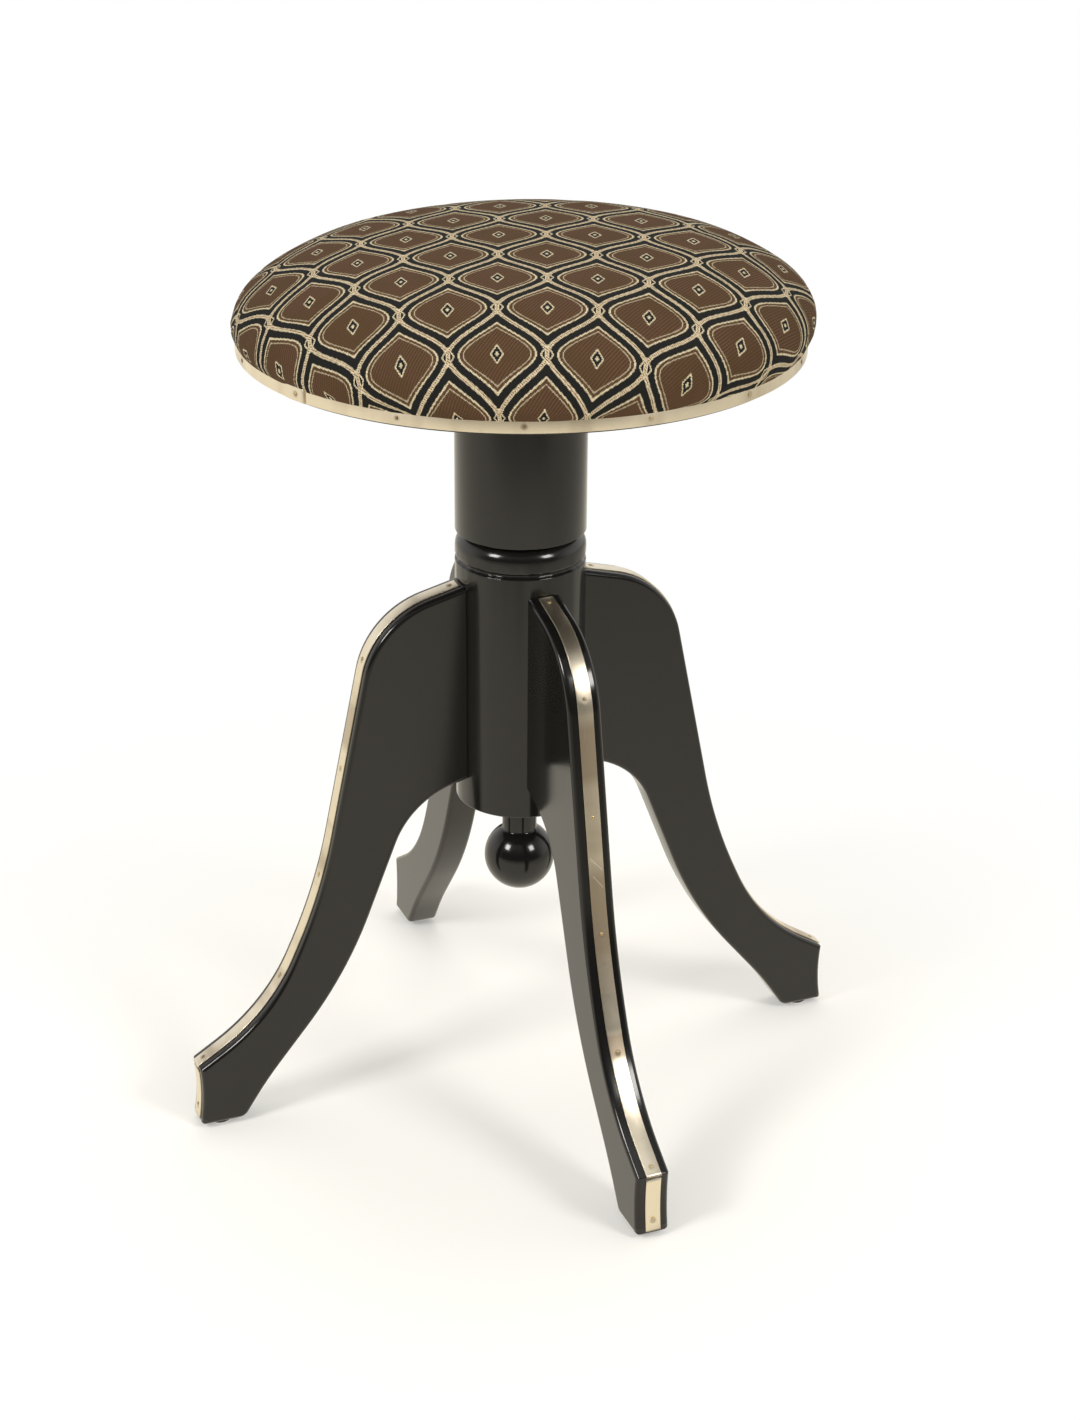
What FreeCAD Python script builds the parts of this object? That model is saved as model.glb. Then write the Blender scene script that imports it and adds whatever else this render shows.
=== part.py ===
import FreeCAD, Part
import math
import os

# Piano stool: a round upholstered seat on a steel screw spindle, over a turned
# column with four sawn legs edged in nickel strip.
# Millimetres. Z is up from the floor, and the column's axis is the Z axis.

# Column, turned, with a bead under the drum
column_radius = 38.5
column_foot = 194.5
column_length = 176.1
foot_bevel = 1.2
shoulder_round = 5.5
shoulder_runs = 2
bead_height = 9.7
groove_width = 3.8
groove_depth = 2.4
groove_floor_width = 1.2
foot_wall = 27.5
chamber_radius = 14.0

# Ball finial under the column
ball_radius = 22.0
ball_sides = 24
ball_runs = 7
ball_flat_turn = 8.0
neck_radius = 11.0
neck_length = 25.5
tenon_radius = 7.0
tenon_end_gap = 3.0

# Legs, sawn from board
leg_count = 4
leg_thickness = 21.0
leg_reach = 215.5
leg_edge_bevel = 1.8
root_drop = 30.1
root_rise = 18.6
cope_overlap = 8.0
haunch_out = 56.0
haunch_drop = 14.2
haunch_round = 48.0
knee_share = 0.675
knee_height = 101.9
knee_round = 155.0
toe_height = 43.2
toe_rake = 1.2
toe_hollow = 1.4
sole_length = 28.5
instep_share = 0.753
instep_height = 37.5
instep_round = 205.0
hollow_share = 0.136
hollow_height = 139.4
hollow_round = 185.0
armpit_out = 39.5
armpit_drop = 10.9
armpit_round = 53.0

# Dowels between the column and each leg
dowel_radius = 5.0
dowel_sides = 8
dowel_length = 38.0
dowel_depth_in_column = 16.0
dowel_from_root_end = 32.0

# Nickel strips on the legs and the pins that hold them
strip_width = 9.5
strip_thickness = 0.8
strip_setback = 2.0
edge_pin_count = 6
edge_pin_margin = 5.5
toe_pin_height = 13.5
toe_strip_end_gap = 1.0

# Round-headed pins
pin_radius = 0.6
pin_length = 9.0
pin_head_radius = 1.25
pin_head_height = 0.55
pin_crown_radius = 0.6
pin_sides = 4
pin_head_sides = 6

# Nail-on glides under the feet
glide_radius = 7.5
glide_height = 3.0
glide_edge_bevel = 1.0
glide_sides = 16
glide_nail_radius = 1.3
glide_nail_length = 15.0
glide_nail_sides = 6

# Screw spindle, its nut in the column and its stop
spindle_radius = 10.0
thread_pitch = 6.0
spindle_end_gap = 2.3
spindle_chamfer = 1.5
nut_flange_radius = 25.0
nut_flange_thickness = 4.0
nut_sleeve_radius = 16.0
nut_sleeve_length = 30.0
nut_screw_count = 3
nut_screw_circle = 20.5
stop_pin_radius = 2.0
stop_pin_length = 25.0
stop_pin_from_end = 5.0
stop_washer_radius = 13.4
stop_washer_thickness = 3.0
stop_washer_sides = 24

# Drum under the seat, which turns with it
drum_length = 113.6
drum_bore_radius = 12.0
flange_radius = 28.0
flange_thickness = 4.0
flange_screw_count = 4
flange_screw_circle = 19.0
drum_screw_count = 4
drum_screw_circle = 33.3
drum_screw_turn = 45.0

# Wood screws, countersunk
screw_sides = 8
screw_tip_radius = 0.4
small_screw_radius = 1.7
small_screw_head_radius = 3.4
small_screw_length = 18.0
flange_screw_radius = 2.0
flange_screw_head_radius = 4.0
flange_screw_length = 12.0
long_screw_radius = 2.2
long_screw_head_radius = 4.4
long_screw_length = 46.0

# Seat board, padding, cover and metal rim band
board_thickness = 12.0
rim_radius = 166.0
band_height = 8.0
band_thickness = 1.0
band_lift = 1.5
band_lap_angle = 199.0
band_lap_length = 13.0
band_lap_thickness = 0.7
band_pin_count = 15
band_pin_start = 9.0
cover_thickness = 1.0
bulge_out = 4.0
bulge_height = 6.3
crown_height = 48.6
rim_round = 25.5
rim_turn = 56.0
crown_shoulder_round = 135.0
cushion_sides = 36
side_runs = 2
rim_runs = 3
crown_shoulder_runs = 2
top_runs = 2

# Clearances
running_gap = 0.05
fixed_gap = 0.05
nail_gap = 0.03
lay_gap = 0.05
head_gap = 0.02
washer_gap = 0.3
rest_gap = 0.3
recess_gap = 0.5
match_gap = 0.001

# Heights and radii that follow
column_top = column_foot + column_length
drum_foot = column_top + rest_gap
board_foot = drum_foot + drum_length
board_top = board_foot + board_thickness
sole = glide_height
chamber_floor = column_foot + foot_wall
spindle_end = chamber_floor + spindle_end_gap
stop_pin_z = spindle_end + stop_pin_from_end
washer_foot = stop_pin_z + stop_pin_radius + nail_gap
nut_foot = column_top - nut_flange_thickness - nut_sleeve_length
band_foot = board_foot + band_lift
band_top = band_foot + band_height
knee_reach = knee_share * leg_reach
instep_reach = instep_share * leg_reach
armpit_reach = column_radius + armpit_out
hollow_reach = armpit_reach + hollow_share * (leg_reach - armpit_reach)
board_radius = rim_radius - band_thickness - cover_thickness
cushion_radius = rim_radius + bulge_out
cover_skirt_radius = rim_radius - band_thickness
bulge_z = band_top + bulge_height
band_lap_turn = math.degrees(band_lap_length / rim_radius)

full_circle = 360.0
quarter_turn = full_circle / 4
origin = FreeCAD.Vector(0, 0, 0)
up = FreeCAD.Vector(0, 0, 1)
leg_names = ["right", "back", "left", "front"]


def at(radius, height):
    """A point in the XZ plane, at a radius from the column's axis."""
    return FreeCAD.Vector(radius, 0, height)


def turned(shape, angle):
    """A copy of a shape turned about the column's axis."""
    copy = shape.copy()
    copy.rotate(origin, up, angle)
    return copy


def ring(shape, count, start=0.0):
    """Copies of a shape evenly spaced about the column's axis."""
    return [turned(shape, start + full_circle * i / count) for i in range(count)]


def aimed(shape, point, direction):
    """A shape drawn at the origin along +Z, moved to a point and aimed along a direction."""
    copy = shape.copy()
    copy.Placement = FreeCAD.Placement(point, FreeCAD.Rotation(up, direction))
    return copy


def lathe(corners):
    """A solid turned about the Z axis from a closed outline of (radius, height) corners."""
    points = [at(radius, height) for radius, height in corners]
    wire = Part.makePolygon(points + points[:1])
    return Part.Face(wire).revolve(origin, up, full_circle)


def line(start, end):
    return Part.LineSegment(start, end).toShape()


def arc(start, middle, end):
    return Part.Arc(start, middle, end).toShape()


def arc_points(centre, radius, start, end, runs):
    """Points of (radius, height) along an arc between two angles, for a profile of short runs."""
    angles = [math.radians(start + (end - start) * i / runs) for i in range(runs + 1)]
    return [(centre[0] + radius * math.cos(angle), centre[1] + radius * math.sin(angle))
            for angle in angles]


def rounded_path(corners, radii, offset=0.0):
    """Straight runs joined by tangent arcs in the XZ plane, moved to their left by an offset."""
    points = [at(*corner) for corner in corners]
    runs = [(b - a).normalize() for a, b in zip(points[:-1], points[1:])]
    lefts = [FreeCAD.Vector(-run.z, 0, run.x) for run in runs]
    moved = [points[0] + lefts[0] * offset]
    turns = []
    for i in range(1, len(runs)):
        turn = math.atan2(runs[i - 1].x * runs[i].z - runs[i - 1].z * runs[i].x,
                          runs[i - 1].dot(runs[i]))
        turns.append(turn)
        moved.append(points[i] + (lefts[i] + runs[i] * math.tan(turn / 2)) * offset)
    moved.append(points[-1] + lefts[-1] * offset)
    edges = []
    start = moved[0]
    for i, turn in enumerate(turns):
        side = math.copysign(1.0, turn)
        radius = radii[i] - side * offset
        reach = radius * math.tan(abs(turn) / 2)
        corner = moved[i + 1]
        arc_start = corner - runs[i] * reach
        arc_end = corner + runs[i + 1] * reach
        centre = arc_start + lefts[i] * (side * radius)
        middle = centre + (corner - centre).normalize() * radius
        edges.append(line(start, arc_start))
        edges.append(arc(arc_start, middle, arc_end))
        start = arc_end
    edges.append(line(start, moved[-1]))
    return edges


def along(edges, distance):
    """The point and the direction at a distance along a chain of edges."""
    for edge in edges:
        if distance <= edge.Length:
            parameter = edge.getParameterByLength(distance)
            return edge.valueAt(parameter), edge.tangentAt(parameter)
        distance -= edge.Length
    last = edges[-1]
    return last.valueAt(last.LastParameter), last.tangentAt(last.LastParameter)


def slab(edges, width):
    """A closed chain of edges in the XZ plane, made a plate of a width centred on the plane."""
    face = Part.Face(Part.Wire(Part.__sortEdges__(edges)))
    plate = face.extrude(FreeCAD.Vector(0, width, 0))
    plate.translate(FreeCAD.Vector(0, -width / 2, 0))
    return plate


def faceted(sides, corners):
    """A few-sided solid turned about the Z axis from a closed outline of (radius, height) corners."""
    def loop_face(points):
        return Part.Face(Part.makePolygon(points + points[:1]))

    def around(corner, step):
        angle = 2 * math.pi * (step + 0.5) / sides
        return FreeCAD.Vector(corner[0] * math.cos(angle), corner[0] * math.sin(angle), corner[1])

    faces = []
    for one, other in zip(corners, corners[1:] + corners[:1]):
        widest = max(one, other)
        if widest[0] == 0:
            continue
        if one[1] == other[1] and 0 in (one[0], other[0]):
            faces.append(loop_face([around(widest, step) for step in range(sides)]))
            continue
        for step in range(sides):
            points = [around(one, step), around(other, step), around(other, step + 1)]
            if other[0] == 0:
                points.pop()
            if one[0] > 0:
                points.append(around(one, step + 1))
            faces.append(loop_face(points))
    return Part.makeSolid(Part.makeShell(faces))


def pin():
    """A pin driven along -Z, with the underside of its low crowned head at the origin."""
    shank = faceted(pin_sides, [(0, -pin_length), (pin_radius, -pin_length), (pin_radius, 0),
                                (0, 0)])
    head = faceted(pin_head_sides, [(0, 0), (pin_head_radius, 0),
                                    (pin_crown_radius, pin_head_height), (0, pin_head_height)])
    return shank.fuse(head)


def pin_hole():
    """The hole that a pin's shank fills, from just above its head's seat."""
    radius = pin_radius + nail_gap
    end = -pin_length - nail_gap
    return faceted(pin_sides, [(0, end), (radius, end), (radius, pin_head_height),
                               (0, pin_head_height)])


def wood_screw(radius, head_radius, length, gap=0.0):
    """A countersunk screw along -Z with its head's top at the origin; a gap makes its hole."""
    cone = head_radius - radius
    point = length - radius
    tip = screw_tip_radius + gap
    corners = [(0, -length - gap), (tip, -length - gap), (radius + gap, -point),
               (radius + gap, -cone), (head_radius + gap, 0)]
    if gap:
        corners.append((head_radius + gap, gap))
    return faceted(screw_sides, corners + [(0, gap)])


def column():
    """The turned column, bored from both ends, with its bead, groove and screw seats."""
    groove_top = column_top - shoulder_round - bead_height
    groove_foot = groove_top - groove_width
    groove_wall = (groove_width - groove_floor_width) / 2
    groove_radius = column_radius - groove_depth
    shoulder_centre = (column_radius - shoulder_round, column_top - shoulder_round)
    bore = chamber_radius
    sleeve = nut_sleeve_radius + fixed_gap
    seat = nut_flange_radius + fixed_gap
    tenon = tenon_radius + fixed_gap
    nut_seat = column_top - nut_flange_thickness
    corners = [(seat, column_top), (seat, nut_seat), (sleeve, nut_seat), (sleeve, nut_foot),
               (bore, nut_foot), (bore, chamber_floor), (tenon, chamber_floor),
               (tenon, column_foot), (column_radius - foot_bevel, column_foot),
               (column_radius, column_foot + foot_bevel), (column_radius, groove_foot),
               (groove_radius, groove_foot + groove_wall),
               (groove_radius, groove_top - groove_wall), (column_radius, groove_top)]
    corners += arc_points(shoulder_centre, shoulder_round, 0, quarter_turn, shoulder_runs)
    holes = ring(nut_screw(nail_gap), nut_screw_count) + leg_dowels(fixed_gap)
    return lathe(corners).cut(holes)


def finial():
    """The turned ball with its neck and the tenon that is glued into the column."""
    neck_turn = math.degrees(math.acos(neck_radius / ball_radius))
    ball_z = column_foot - neck_length - ball_radius * math.sin(math.radians(neck_turn))
    tenon_top = chamber_floor - tenon_end_gap
    ball = arc_points((0, ball_z), ball_radius, ball_flat_turn - quarter_turn, neck_turn, ball_runs)
    return faceted(ball_sides, [(0, ball[0][1])] + ball
                   + [(neck_radius, column_foot), (tenon_radius, column_foot),
                      (tenon_radius, tenon_top), (0, tenon_top)])


def leg_outer_corners(start):
    """The outer edge of a leg, from a radius near the column to the top of the toe."""
    root_top = column_top - root_drop
    fall = haunch_drop / haunch_out
    start_z = root_top - (start - column_radius) * fall
    return [(start, start_z),
            (column_radius + haunch_out, root_top - haunch_drop),
            (knee_reach, knee_height),
            (leg_reach, toe_height)]


def leg_inner_corners(end):
    """The inner edge of a leg, from the heel up to a radius near the column."""
    root_foot = column_foot + root_rise
    fall = armpit_drop / armpit_out
    return [(leg_reach + toe_rake - sole_length, sole),
            (instep_reach, instep_height),
            (hollow_reach, hollow_height),
            (armpit_reach, root_foot - armpit_drop),
            (end, root_foot + (column_radius - end) * fall)]


outer_radii = [haunch_round, knee_round]
inner_radii = [instep_round, hollow_round, armpit_round]


def toe_edge(offset=0.0):
    """The slightly hollow front of the toe, moved outwards by an offset."""
    top = at(leg_reach + offset, toe_height)
    bottom = at(leg_reach + toe_rake + offset, sole)
    middle = (top + bottom) / 2 - FreeCAD.Vector(toe_hollow, 0, 0)
    return arc(top, middle, bottom)


def edge_pin_places():
    """Where the pins stand along the outer edge, as points and outward directions."""
    path = rounded_path(leg_outer_corners(column_radius + strip_setback), outer_radii,
                        lay_gap + strip_thickness + head_gap)
    length = sum(edge.Length for edge in path)
    step = (length - 2 * edge_pin_margin) / (edge_pin_count - 1)
    places = []
    for i in range(edge_pin_count):
        point, tangent = along(path, edge_pin_margin + i * step)
        places.append((point, FreeCAD.Vector(-tangent.z, 0, tangent.x)))
    return places


def toe_pin_place():
    """Where the toe's pin stands, on the toe strip's face."""
    face = toe_edge(lay_gap + strip_thickness + head_gap)
    level = line(at(0, toe_pin_height), at(2 * leg_reach, toe_pin_height))
    point = face.distToShape(level)[1][0][0]
    run = face.tangentAt(face.Curve.parameter(point))
    return point, FreeCAD.Vector(abs(run.z), 0, -math.copysign(run.x, run.z * run.x))


def glide_reach():
    return leg_reach + toe_rake - sole_length / 2


def leg():
    """One leg toward +X: an S-shaped board with eased edges, coped to the column."""
    root = column_radius - cope_overlap
    outer = leg_outer_corners(root)
    inner = leg_inner_corners(root)
    toe = toe_edge()
    edges = rounded_path(outer, outer_radii) + [toe]
    edges.append(line(toe.valueAt(toe.LastParameter), at(*inner[0])))
    edges += rounded_path(inner, inner_radii)
    edges.append(line(at(*inner[-1]), at(*outer[0])))
    board = slab(edges, leg_thickness)
    rims = [edge for edge in board.Edges
            if abs(abs(edge.BoundBox.Center.y) - leg_thickness / 2) < match_gap
            and edge.BoundBox.YLength < match_gap
            and edge.BoundBox.XMax > root + match_gap]
    board = board.makeChamfer(leg_edge_bevel, rims)
    cope = Part.makeCylinder(column_radius + lay_gap, column_top)
    holes = [aimed(pin_hole(), point, outward) for point, outward in edge_pin_places()]
    holes.append(aimed(pin_hole(), *toe_pin_place()))
    holes.append(glide_nail(nail_gap))
    return board.cut([cope] + holes + dowel_pair(fixed_gap))


def dowel_pair(gap=0.0):
    """The two dowels of the leg toward +X; a gap makes their holes."""
    root_top = column_top - root_drop
    root_foot = column_foot + root_rise
    start = column_radius - dowel_depth_in_column - gap
    radius = dowel_radius + gap
    length = dowel_length + 2 * gap
    dowel = faceted(dowel_sides, [(0, 0), (radius, 0), (radius, length), (0, length)])
    return [aimed(dowel, at(start, height), FreeCAD.Vector(1, 0, 0))
            for height in (root_top - dowel_from_root_end, root_foot + dowel_from_root_end)]


def leg_dowels(gap=0.0):
    return [dowel for pair in dowel_pair(gap) for dowel in ring(pair, leg_count)]


def edge_strip():
    """The metal strip along the outer edge of the leg toward +X."""
    corners = leg_outer_corners(column_radius + strip_setback)
    under = rounded_path(corners, outer_radii, lay_gap)
    over = rounded_path(corners, outer_radii, lay_gap + strip_thickness)
    ends = []
    for path, index in ((under, -1), (over, -1)):
        last = path[index]
        tip, run = last.valueAt(last.LastParameter), last.tangentAt(last.LastParameter)
        reach = tip + run * strip_thickness
        path.append(line(tip, reach))
        ends.append(reach)
    starts = [path[0].valueAt(path[0].FirstParameter) for path in (under, over)]
    strip = slab(under + over + [line(*ends), line(*starts)], strip_width)
    return strip.cut([aimed(pin_hole(), *place) for place in edge_pin_places()])


def toe_strip():
    """The short metal strip down the front of the toe of the leg toward +X."""
    under = toe_edge(lay_gap)
    over = toe_edge(lay_gap + strip_thickness)
    ends = [line(under.valueAt(parameter), over.valueAt(parameter))
            for parameter in (under.FirstParameter, under.LastParameter)]
    strip = slab([under, over] + ends, strip_width)
    depth = toe_height - sole - 2 * toe_strip_end_gap
    keep = Part.makeBox(2 * leg_reach, strip_width, depth,
                        FreeCAD.Vector(0, -strip_width / 2, sole + toe_strip_end_gap))
    return strip.common(keep).cut(aimed(pin_hole(), *toe_pin_place()))


def glide_nail(gap=0.0):
    """The nail of the glide toward +X; a gap makes its hole."""
    radius = glide_nail_radius + gap
    top = glide_height + glide_nail_length
    foot = glide_height - gap
    nail = faceted(glide_nail_sides, [(0, foot), (radius, foot), (radius, top - radius),
                                      (screw_tip_radius + gap, top + gap), (0, top + gap)])
    nail.translate(at(glide_reach(), 0))
    return nail


def glide():
    """A glide under the leg toward +X: a low disc and its nail, in one piece."""
    disc = faceted(glide_sides, [(0, 0), (glide_radius - glide_edge_bevel, 0),
                                 (glide_radius, glide_edge_bevel), (glide_radius, glide_height),
                                 (0, glide_height)])
    disc.translate(at(glide_reach(), 0))
    return disc.fuse(glide_nail())


def nut_screw(gap=0.0):
    """A screw that holds the nut's flange down in the column."""
    screw = wood_screw(small_screw_radius, small_screw_head_radius, small_screw_length, gap)
    screw.translate(at(nut_screw_circle, column_top))
    return screw


def spindle_nut():
    """The flanged nut let into the top of the column."""
    bore = spindle_radius + running_gap
    flange_foot = column_top - nut_flange_thickness
    body = lathe([(bore, column_top), (nut_flange_radius, column_top),
                  (nut_flange_radius, flange_foot), (nut_sleeve_radius, flange_foot),
                  (nut_sleeve_radius, nut_foot), (bore, nut_foot)])
    return body.cut(ring(nut_screw(nail_gap), nut_screw_count))


def stop_pin(gap=0.0):
    """The cross pin near the spindle's lower end."""
    length = stop_pin_length + 2 * gap
    return Part.makeCylinder(stop_pin_radius + gap, length, at(-length / 2, stop_pin_z),
                             FreeCAD.Vector(1, 0, 0))


def spindle():
    """The steel spindle, from the seat board down into the column's chamber."""
    rod = lathe([(0, board_foot), (spindle_radius, board_foot),
                 (spindle_radius, spindle_end + spindle_chamfer),
                 (spindle_radius - spindle_chamfer, spindle_end), (0, spindle_end)])
    return rod.cut(stop_pin(nail_gap))


def stop_washer():
    """The loose washer on the stop pin, which meets the nut at the top of the travel."""
    bore = spindle_radius + washer_gap
    top = washer_foot + stop_washer_thickness
    return faceted(stop_washer_sides, [(bore, washer_foot), (stop_washer_radius, washer_foot),
                                       (stop_washer_radius, top), (bore, top)])


def flange_screw(gap=0.0):
    """A screw up through the spindle's flange into the seat board."""
    screw = wood_screw(flange_screw_radius, flange_screw_head_radius, flange_screw_length, gap)
    return aimed(screw, at(flange_screw_circle, board_foot - flange_thickness), up * -1)


def spindle_flange():
    """The round plate welded to the spindle's top and screwed under the seat board."""
    bore = spindle_radius + fixed_gap
    foot = board_foot - flange_thickness
    plate = lathe([(bore, foot), (flange_radius, foot), (flange_radius, board_foot),
                   (bore, board_foot)])
    return plate.cut(ring(flange_screw(nail_gap), flange_screw_count))


def drum_screw(gap=0.0):
    """A long screw down through the seat board into the drum's wall."""
    screw = wood_screw(long_screw_radius, long_screw_head_radius, long_screw_length, gap)
    return aimed(screw, at(drum_screw_circle, board_top), up)


def drum():
    """The turned drum that hides the spindle and turns with the seat."""
    recess = flange_radius + recess_gap
    recess_floor = board_foot - flange_thickness - recess_gap
    body = lathe([(drum_bore_radius, drum_foot), (column_radius, drum_foot),
                  (column_radius, board_foot), (recess, board_foot), (recess, recess_floor),
                  (drum_bore_radius, recess_floor)])
    return body.cut(ring(drum_screw(nail_gap), drum_screw_count, drum_screw_turn))


def turned_vector(angle):
    """The level direction at an angle about the column's axis."""
    return FreeCAD.Vector(math.cos(math.radians(angle)), math.sin(math.radians(angle)), 0)


def band_pin_places():
    """Where the pins stand round the rim band, as points and outward directions."""
    places = []
    for i in range(band_pin_count):
        angle = band_pin_start + full_circle * i / band_pin_count
        on_lap = band_lap_angle <= angle <= band_lap_angle + band_lap_turn
        seat = rim_radius + (band_lap_thickness if on_lap else 0) + head_gap
        outward = turned_vector(angle)
        places.append((outward * seat + up * (band_foot + band_height / 2), outward))
    return places


def band_pin_holes():
    return [aimed(pin_hole(), *place) for place in band_pin_places()]


def seat_board():
    """The round board that carries the padding, with its screw holes."""
    body = lathe([(0, board_foot), (board_radius, board_foot), (board_radius, board_top),
                  (0, board_top)])
    holes = ring(drum_screw(nail_gap), drum_screw_count, drum_screw_turn)
    holes += ring(flange_screw(nail_gap), flange_screw_count)
    return body.cut(holes + band_pin_holes())


def cushion_profile(inset):
    """The cushion's edge from the rim band's top out round the bulge and over to the axis:
    four tangent arcs in short runs, drawn in by an inset."""
    drawn_in = cushion_radius - cover_skirt_radius
    side_round = (drawn_in ** 2 + bulge_height ** 2) / (2 * drawn_in)
    side_centre = (cushion_radius - side_round, bulge_z)
    side_turn = math.degrees(math.asin(bulge_height / side_round))
    rim_centre = (cushion_radius - rim_round, bulge_z)
    shoulder_centre = (rim_centre[0] - (crown_shoulder_round - rim_round)
                       * math.cos(math.radians(rim_turn)),
                       bulge_z - (crown_shoulder_round - rim_round)
                       * math.sin(math.radians(rim_turn)))
    below_top = bulge_z + crown_height - shoulder_centre[1]
    top_round = ((below_top ** 2 + shoulder_centre[0] ** 2 - crown_shoulder_round ** 2)
                 / (2 * (below_top - crown_shoulder_round)))
    top_centre = (0, bulge_z + crown_height - top_round)
    top_turn = math.degrees(math.atan2(shoulder_centre[1] - top_centre[1], shoulder_centre[0]))
    points = arc_points(side_centre, side_round - inset, -side_turn, 0, side_runs)
    for centre, radius, start, end, runs in (
            (rim_centre, rim_round, 0, rim_turn, rim_runs),
            (shoulder_centre, crown_shoulder_round, rim_turn, top_turn, crown_shoulder_runs),
            (top_centre, top_round, top_turn, quarter_turn, top_runs)):
        points += arc_points(centre, radius - inset, start, end, runs)[1:]
    return points[:-1] + [(0, bulge_z + crown_height - inset)]


def seat_cover():
    """The fabric cover: a thin crowned shell whose skirt lies behind the rim band."""
    outside = cushion_profile(0.0)
    inside = cushion_profile(cover_thickness)
    skirt_inside = (board_radius + lay_gap) / math.cos(math.pi / cushion_sides)
    inside_low = inside[0][1]
    body = faceted(cushion_sides, [(skirt_inside, band_foot), (cover_skirt_radius, band_foot)]
                   + outside + inside[::-1] + [(skirt_inside, inside_low)])
    return body.cut(band_pin_holes())


def foam_pad():
    """The crowned foam pad, from the board up to the cover's inside."""
    profile = cushion_profile(cover_thickness + lay_gap)
    under_board_top = Part.makeCylinder(cushion_radius, board_top - band_foot, at(0, band_foot))
    return faceted(cushion_sides, [(0, profile[0][1])] + profile).cut(under_board_top)


def rim_band():
    """The metal band round the rim, bent from strip, with one end lapped over the other."""
    inner = cover_skirt_radius + lay_gap
    hoop = lathe([(inner, band_foot), (rim_radius, band_foot), (rim_radius, band_top),
                  (inner, band_top)])
    lap_profile = Part.makePolygon([at(rim_radius, band_foot),
                                    at(rim_radius + band_lap_thickness, band_foot),
                                    at(rim_radius + band_lap_thickness, band_top),
                                    at(rim_radius, band_top), at(rim_radius, band_foot)])
    lap = turned(Part.Face(lap_profile), band_lap_angle).revolve(origin, up, band_lap_turn)
    return hoop.fuse(lap).cut(band_pin_holes())


def group(solids):
    return Part.makeCompound(solids)


parts = {
    "column": column(),
    "ball_finial": finial(),
    "leg_dowels": group(leg_dowels()),
    "glides": group(ring(glide(), leg_count)),
    "spindle_nut": spindle_nut(),
    "nut_screws": group(ring(nut_screw(), nut_screw_count)),
    "stop_washer": stop_washer(),
    "spindle": spindle(),
    "stop_pin": stop_pin(),
    "spindle_flange": spindle_flange(),
    "flange_screws": group(ring(flange_screw(), flange_screw_count)),
    "drum": drum(),
    "drum_screws": group(ring(drum_screw(), drum_screw_count, drum_screw_turn)),
    "seat_board": seat_board(),
    "foam_pad": foam_pad(),
    "seat_cover": seat_cover(),
    "rim_band": rim_band(),
    "rim_band_pins": group([aimed(pin(), *place) for place in band_pin_places()]),
}

edge_pins = [aimed(pin(), *place) for place in edge_pin_places()]
toe_pin = aimed(pin(), *toe_pin_place())
one_leg, one_edge_strip, one_toe_strip = leg(), edge_strip(), toe_strip()
for index, name in enumerate(leg_names):
    angle = index * quarter_turn
    parts["leg_" + name] = turned(one_leg, angle)
    parts["edge_strip_" + name] = turned(one_edge_strip, angle)
    parts["toe_strip_" + name] = turned(one_toe_strip, angle)
    parts["strip_pins_" + name] = group([turned(solid, angle) for solid in edge_pins + [toe_pin]])

os.makedirs("parts", exist_ok=True)
for name, shape in parts.items():
    shape.exportStep("parts/" + name + ".step")

travel = nut_foot - washer_foot - stop_washer_thickness
whole_turns = int(travel / thread_pitch)
print("nodes", len(parts), "travel", round(travel, 2), "whole turns", whole_turns)
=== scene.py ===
import math

import bmesh
import bpy
import numpy as np
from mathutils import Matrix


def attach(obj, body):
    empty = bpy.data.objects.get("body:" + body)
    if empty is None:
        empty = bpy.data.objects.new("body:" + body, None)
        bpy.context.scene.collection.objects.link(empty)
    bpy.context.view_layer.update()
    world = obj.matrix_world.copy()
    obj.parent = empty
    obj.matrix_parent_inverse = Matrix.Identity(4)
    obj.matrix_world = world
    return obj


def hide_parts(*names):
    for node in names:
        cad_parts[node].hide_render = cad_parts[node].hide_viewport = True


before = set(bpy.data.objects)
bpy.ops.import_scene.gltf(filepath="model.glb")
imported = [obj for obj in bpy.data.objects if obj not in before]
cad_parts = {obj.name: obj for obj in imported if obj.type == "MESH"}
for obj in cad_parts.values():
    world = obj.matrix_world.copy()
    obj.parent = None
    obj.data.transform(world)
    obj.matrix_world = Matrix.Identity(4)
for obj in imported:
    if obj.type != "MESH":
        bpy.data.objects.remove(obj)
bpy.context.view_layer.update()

# The column: one turned length of hardwood in black lacquer. A rounded shoulder and a bead
# stand over a narrow groove, the nut is let into its top, and the finial is glued to its foot.
COLUMN_RADIUS = 0.0396
COLUMN_FOOT = 0.1945
COLUMN_TOP = 0.3706
FOOT_ROUND = 0.0014
SHOULDER_ROUND = 0.0100
BEAD_FOOT = 0.3554
GROOVE_WIDTH = 0.0038
GROOVE_DEPTH = 0.0024
GROOVE_ROUNDS = [0.0007, 0.0011, 0.0018]
LACQUER_POOLING = 0.00020
NUT_SEAT_RADIUS = 0.02505
NUT_SEAT_DEPTH = 0.004
CHAMBER_RADIUS = 0.01605
CHAMBER_FLOOR = 0.222
TURNED_SIDES = 160


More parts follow.
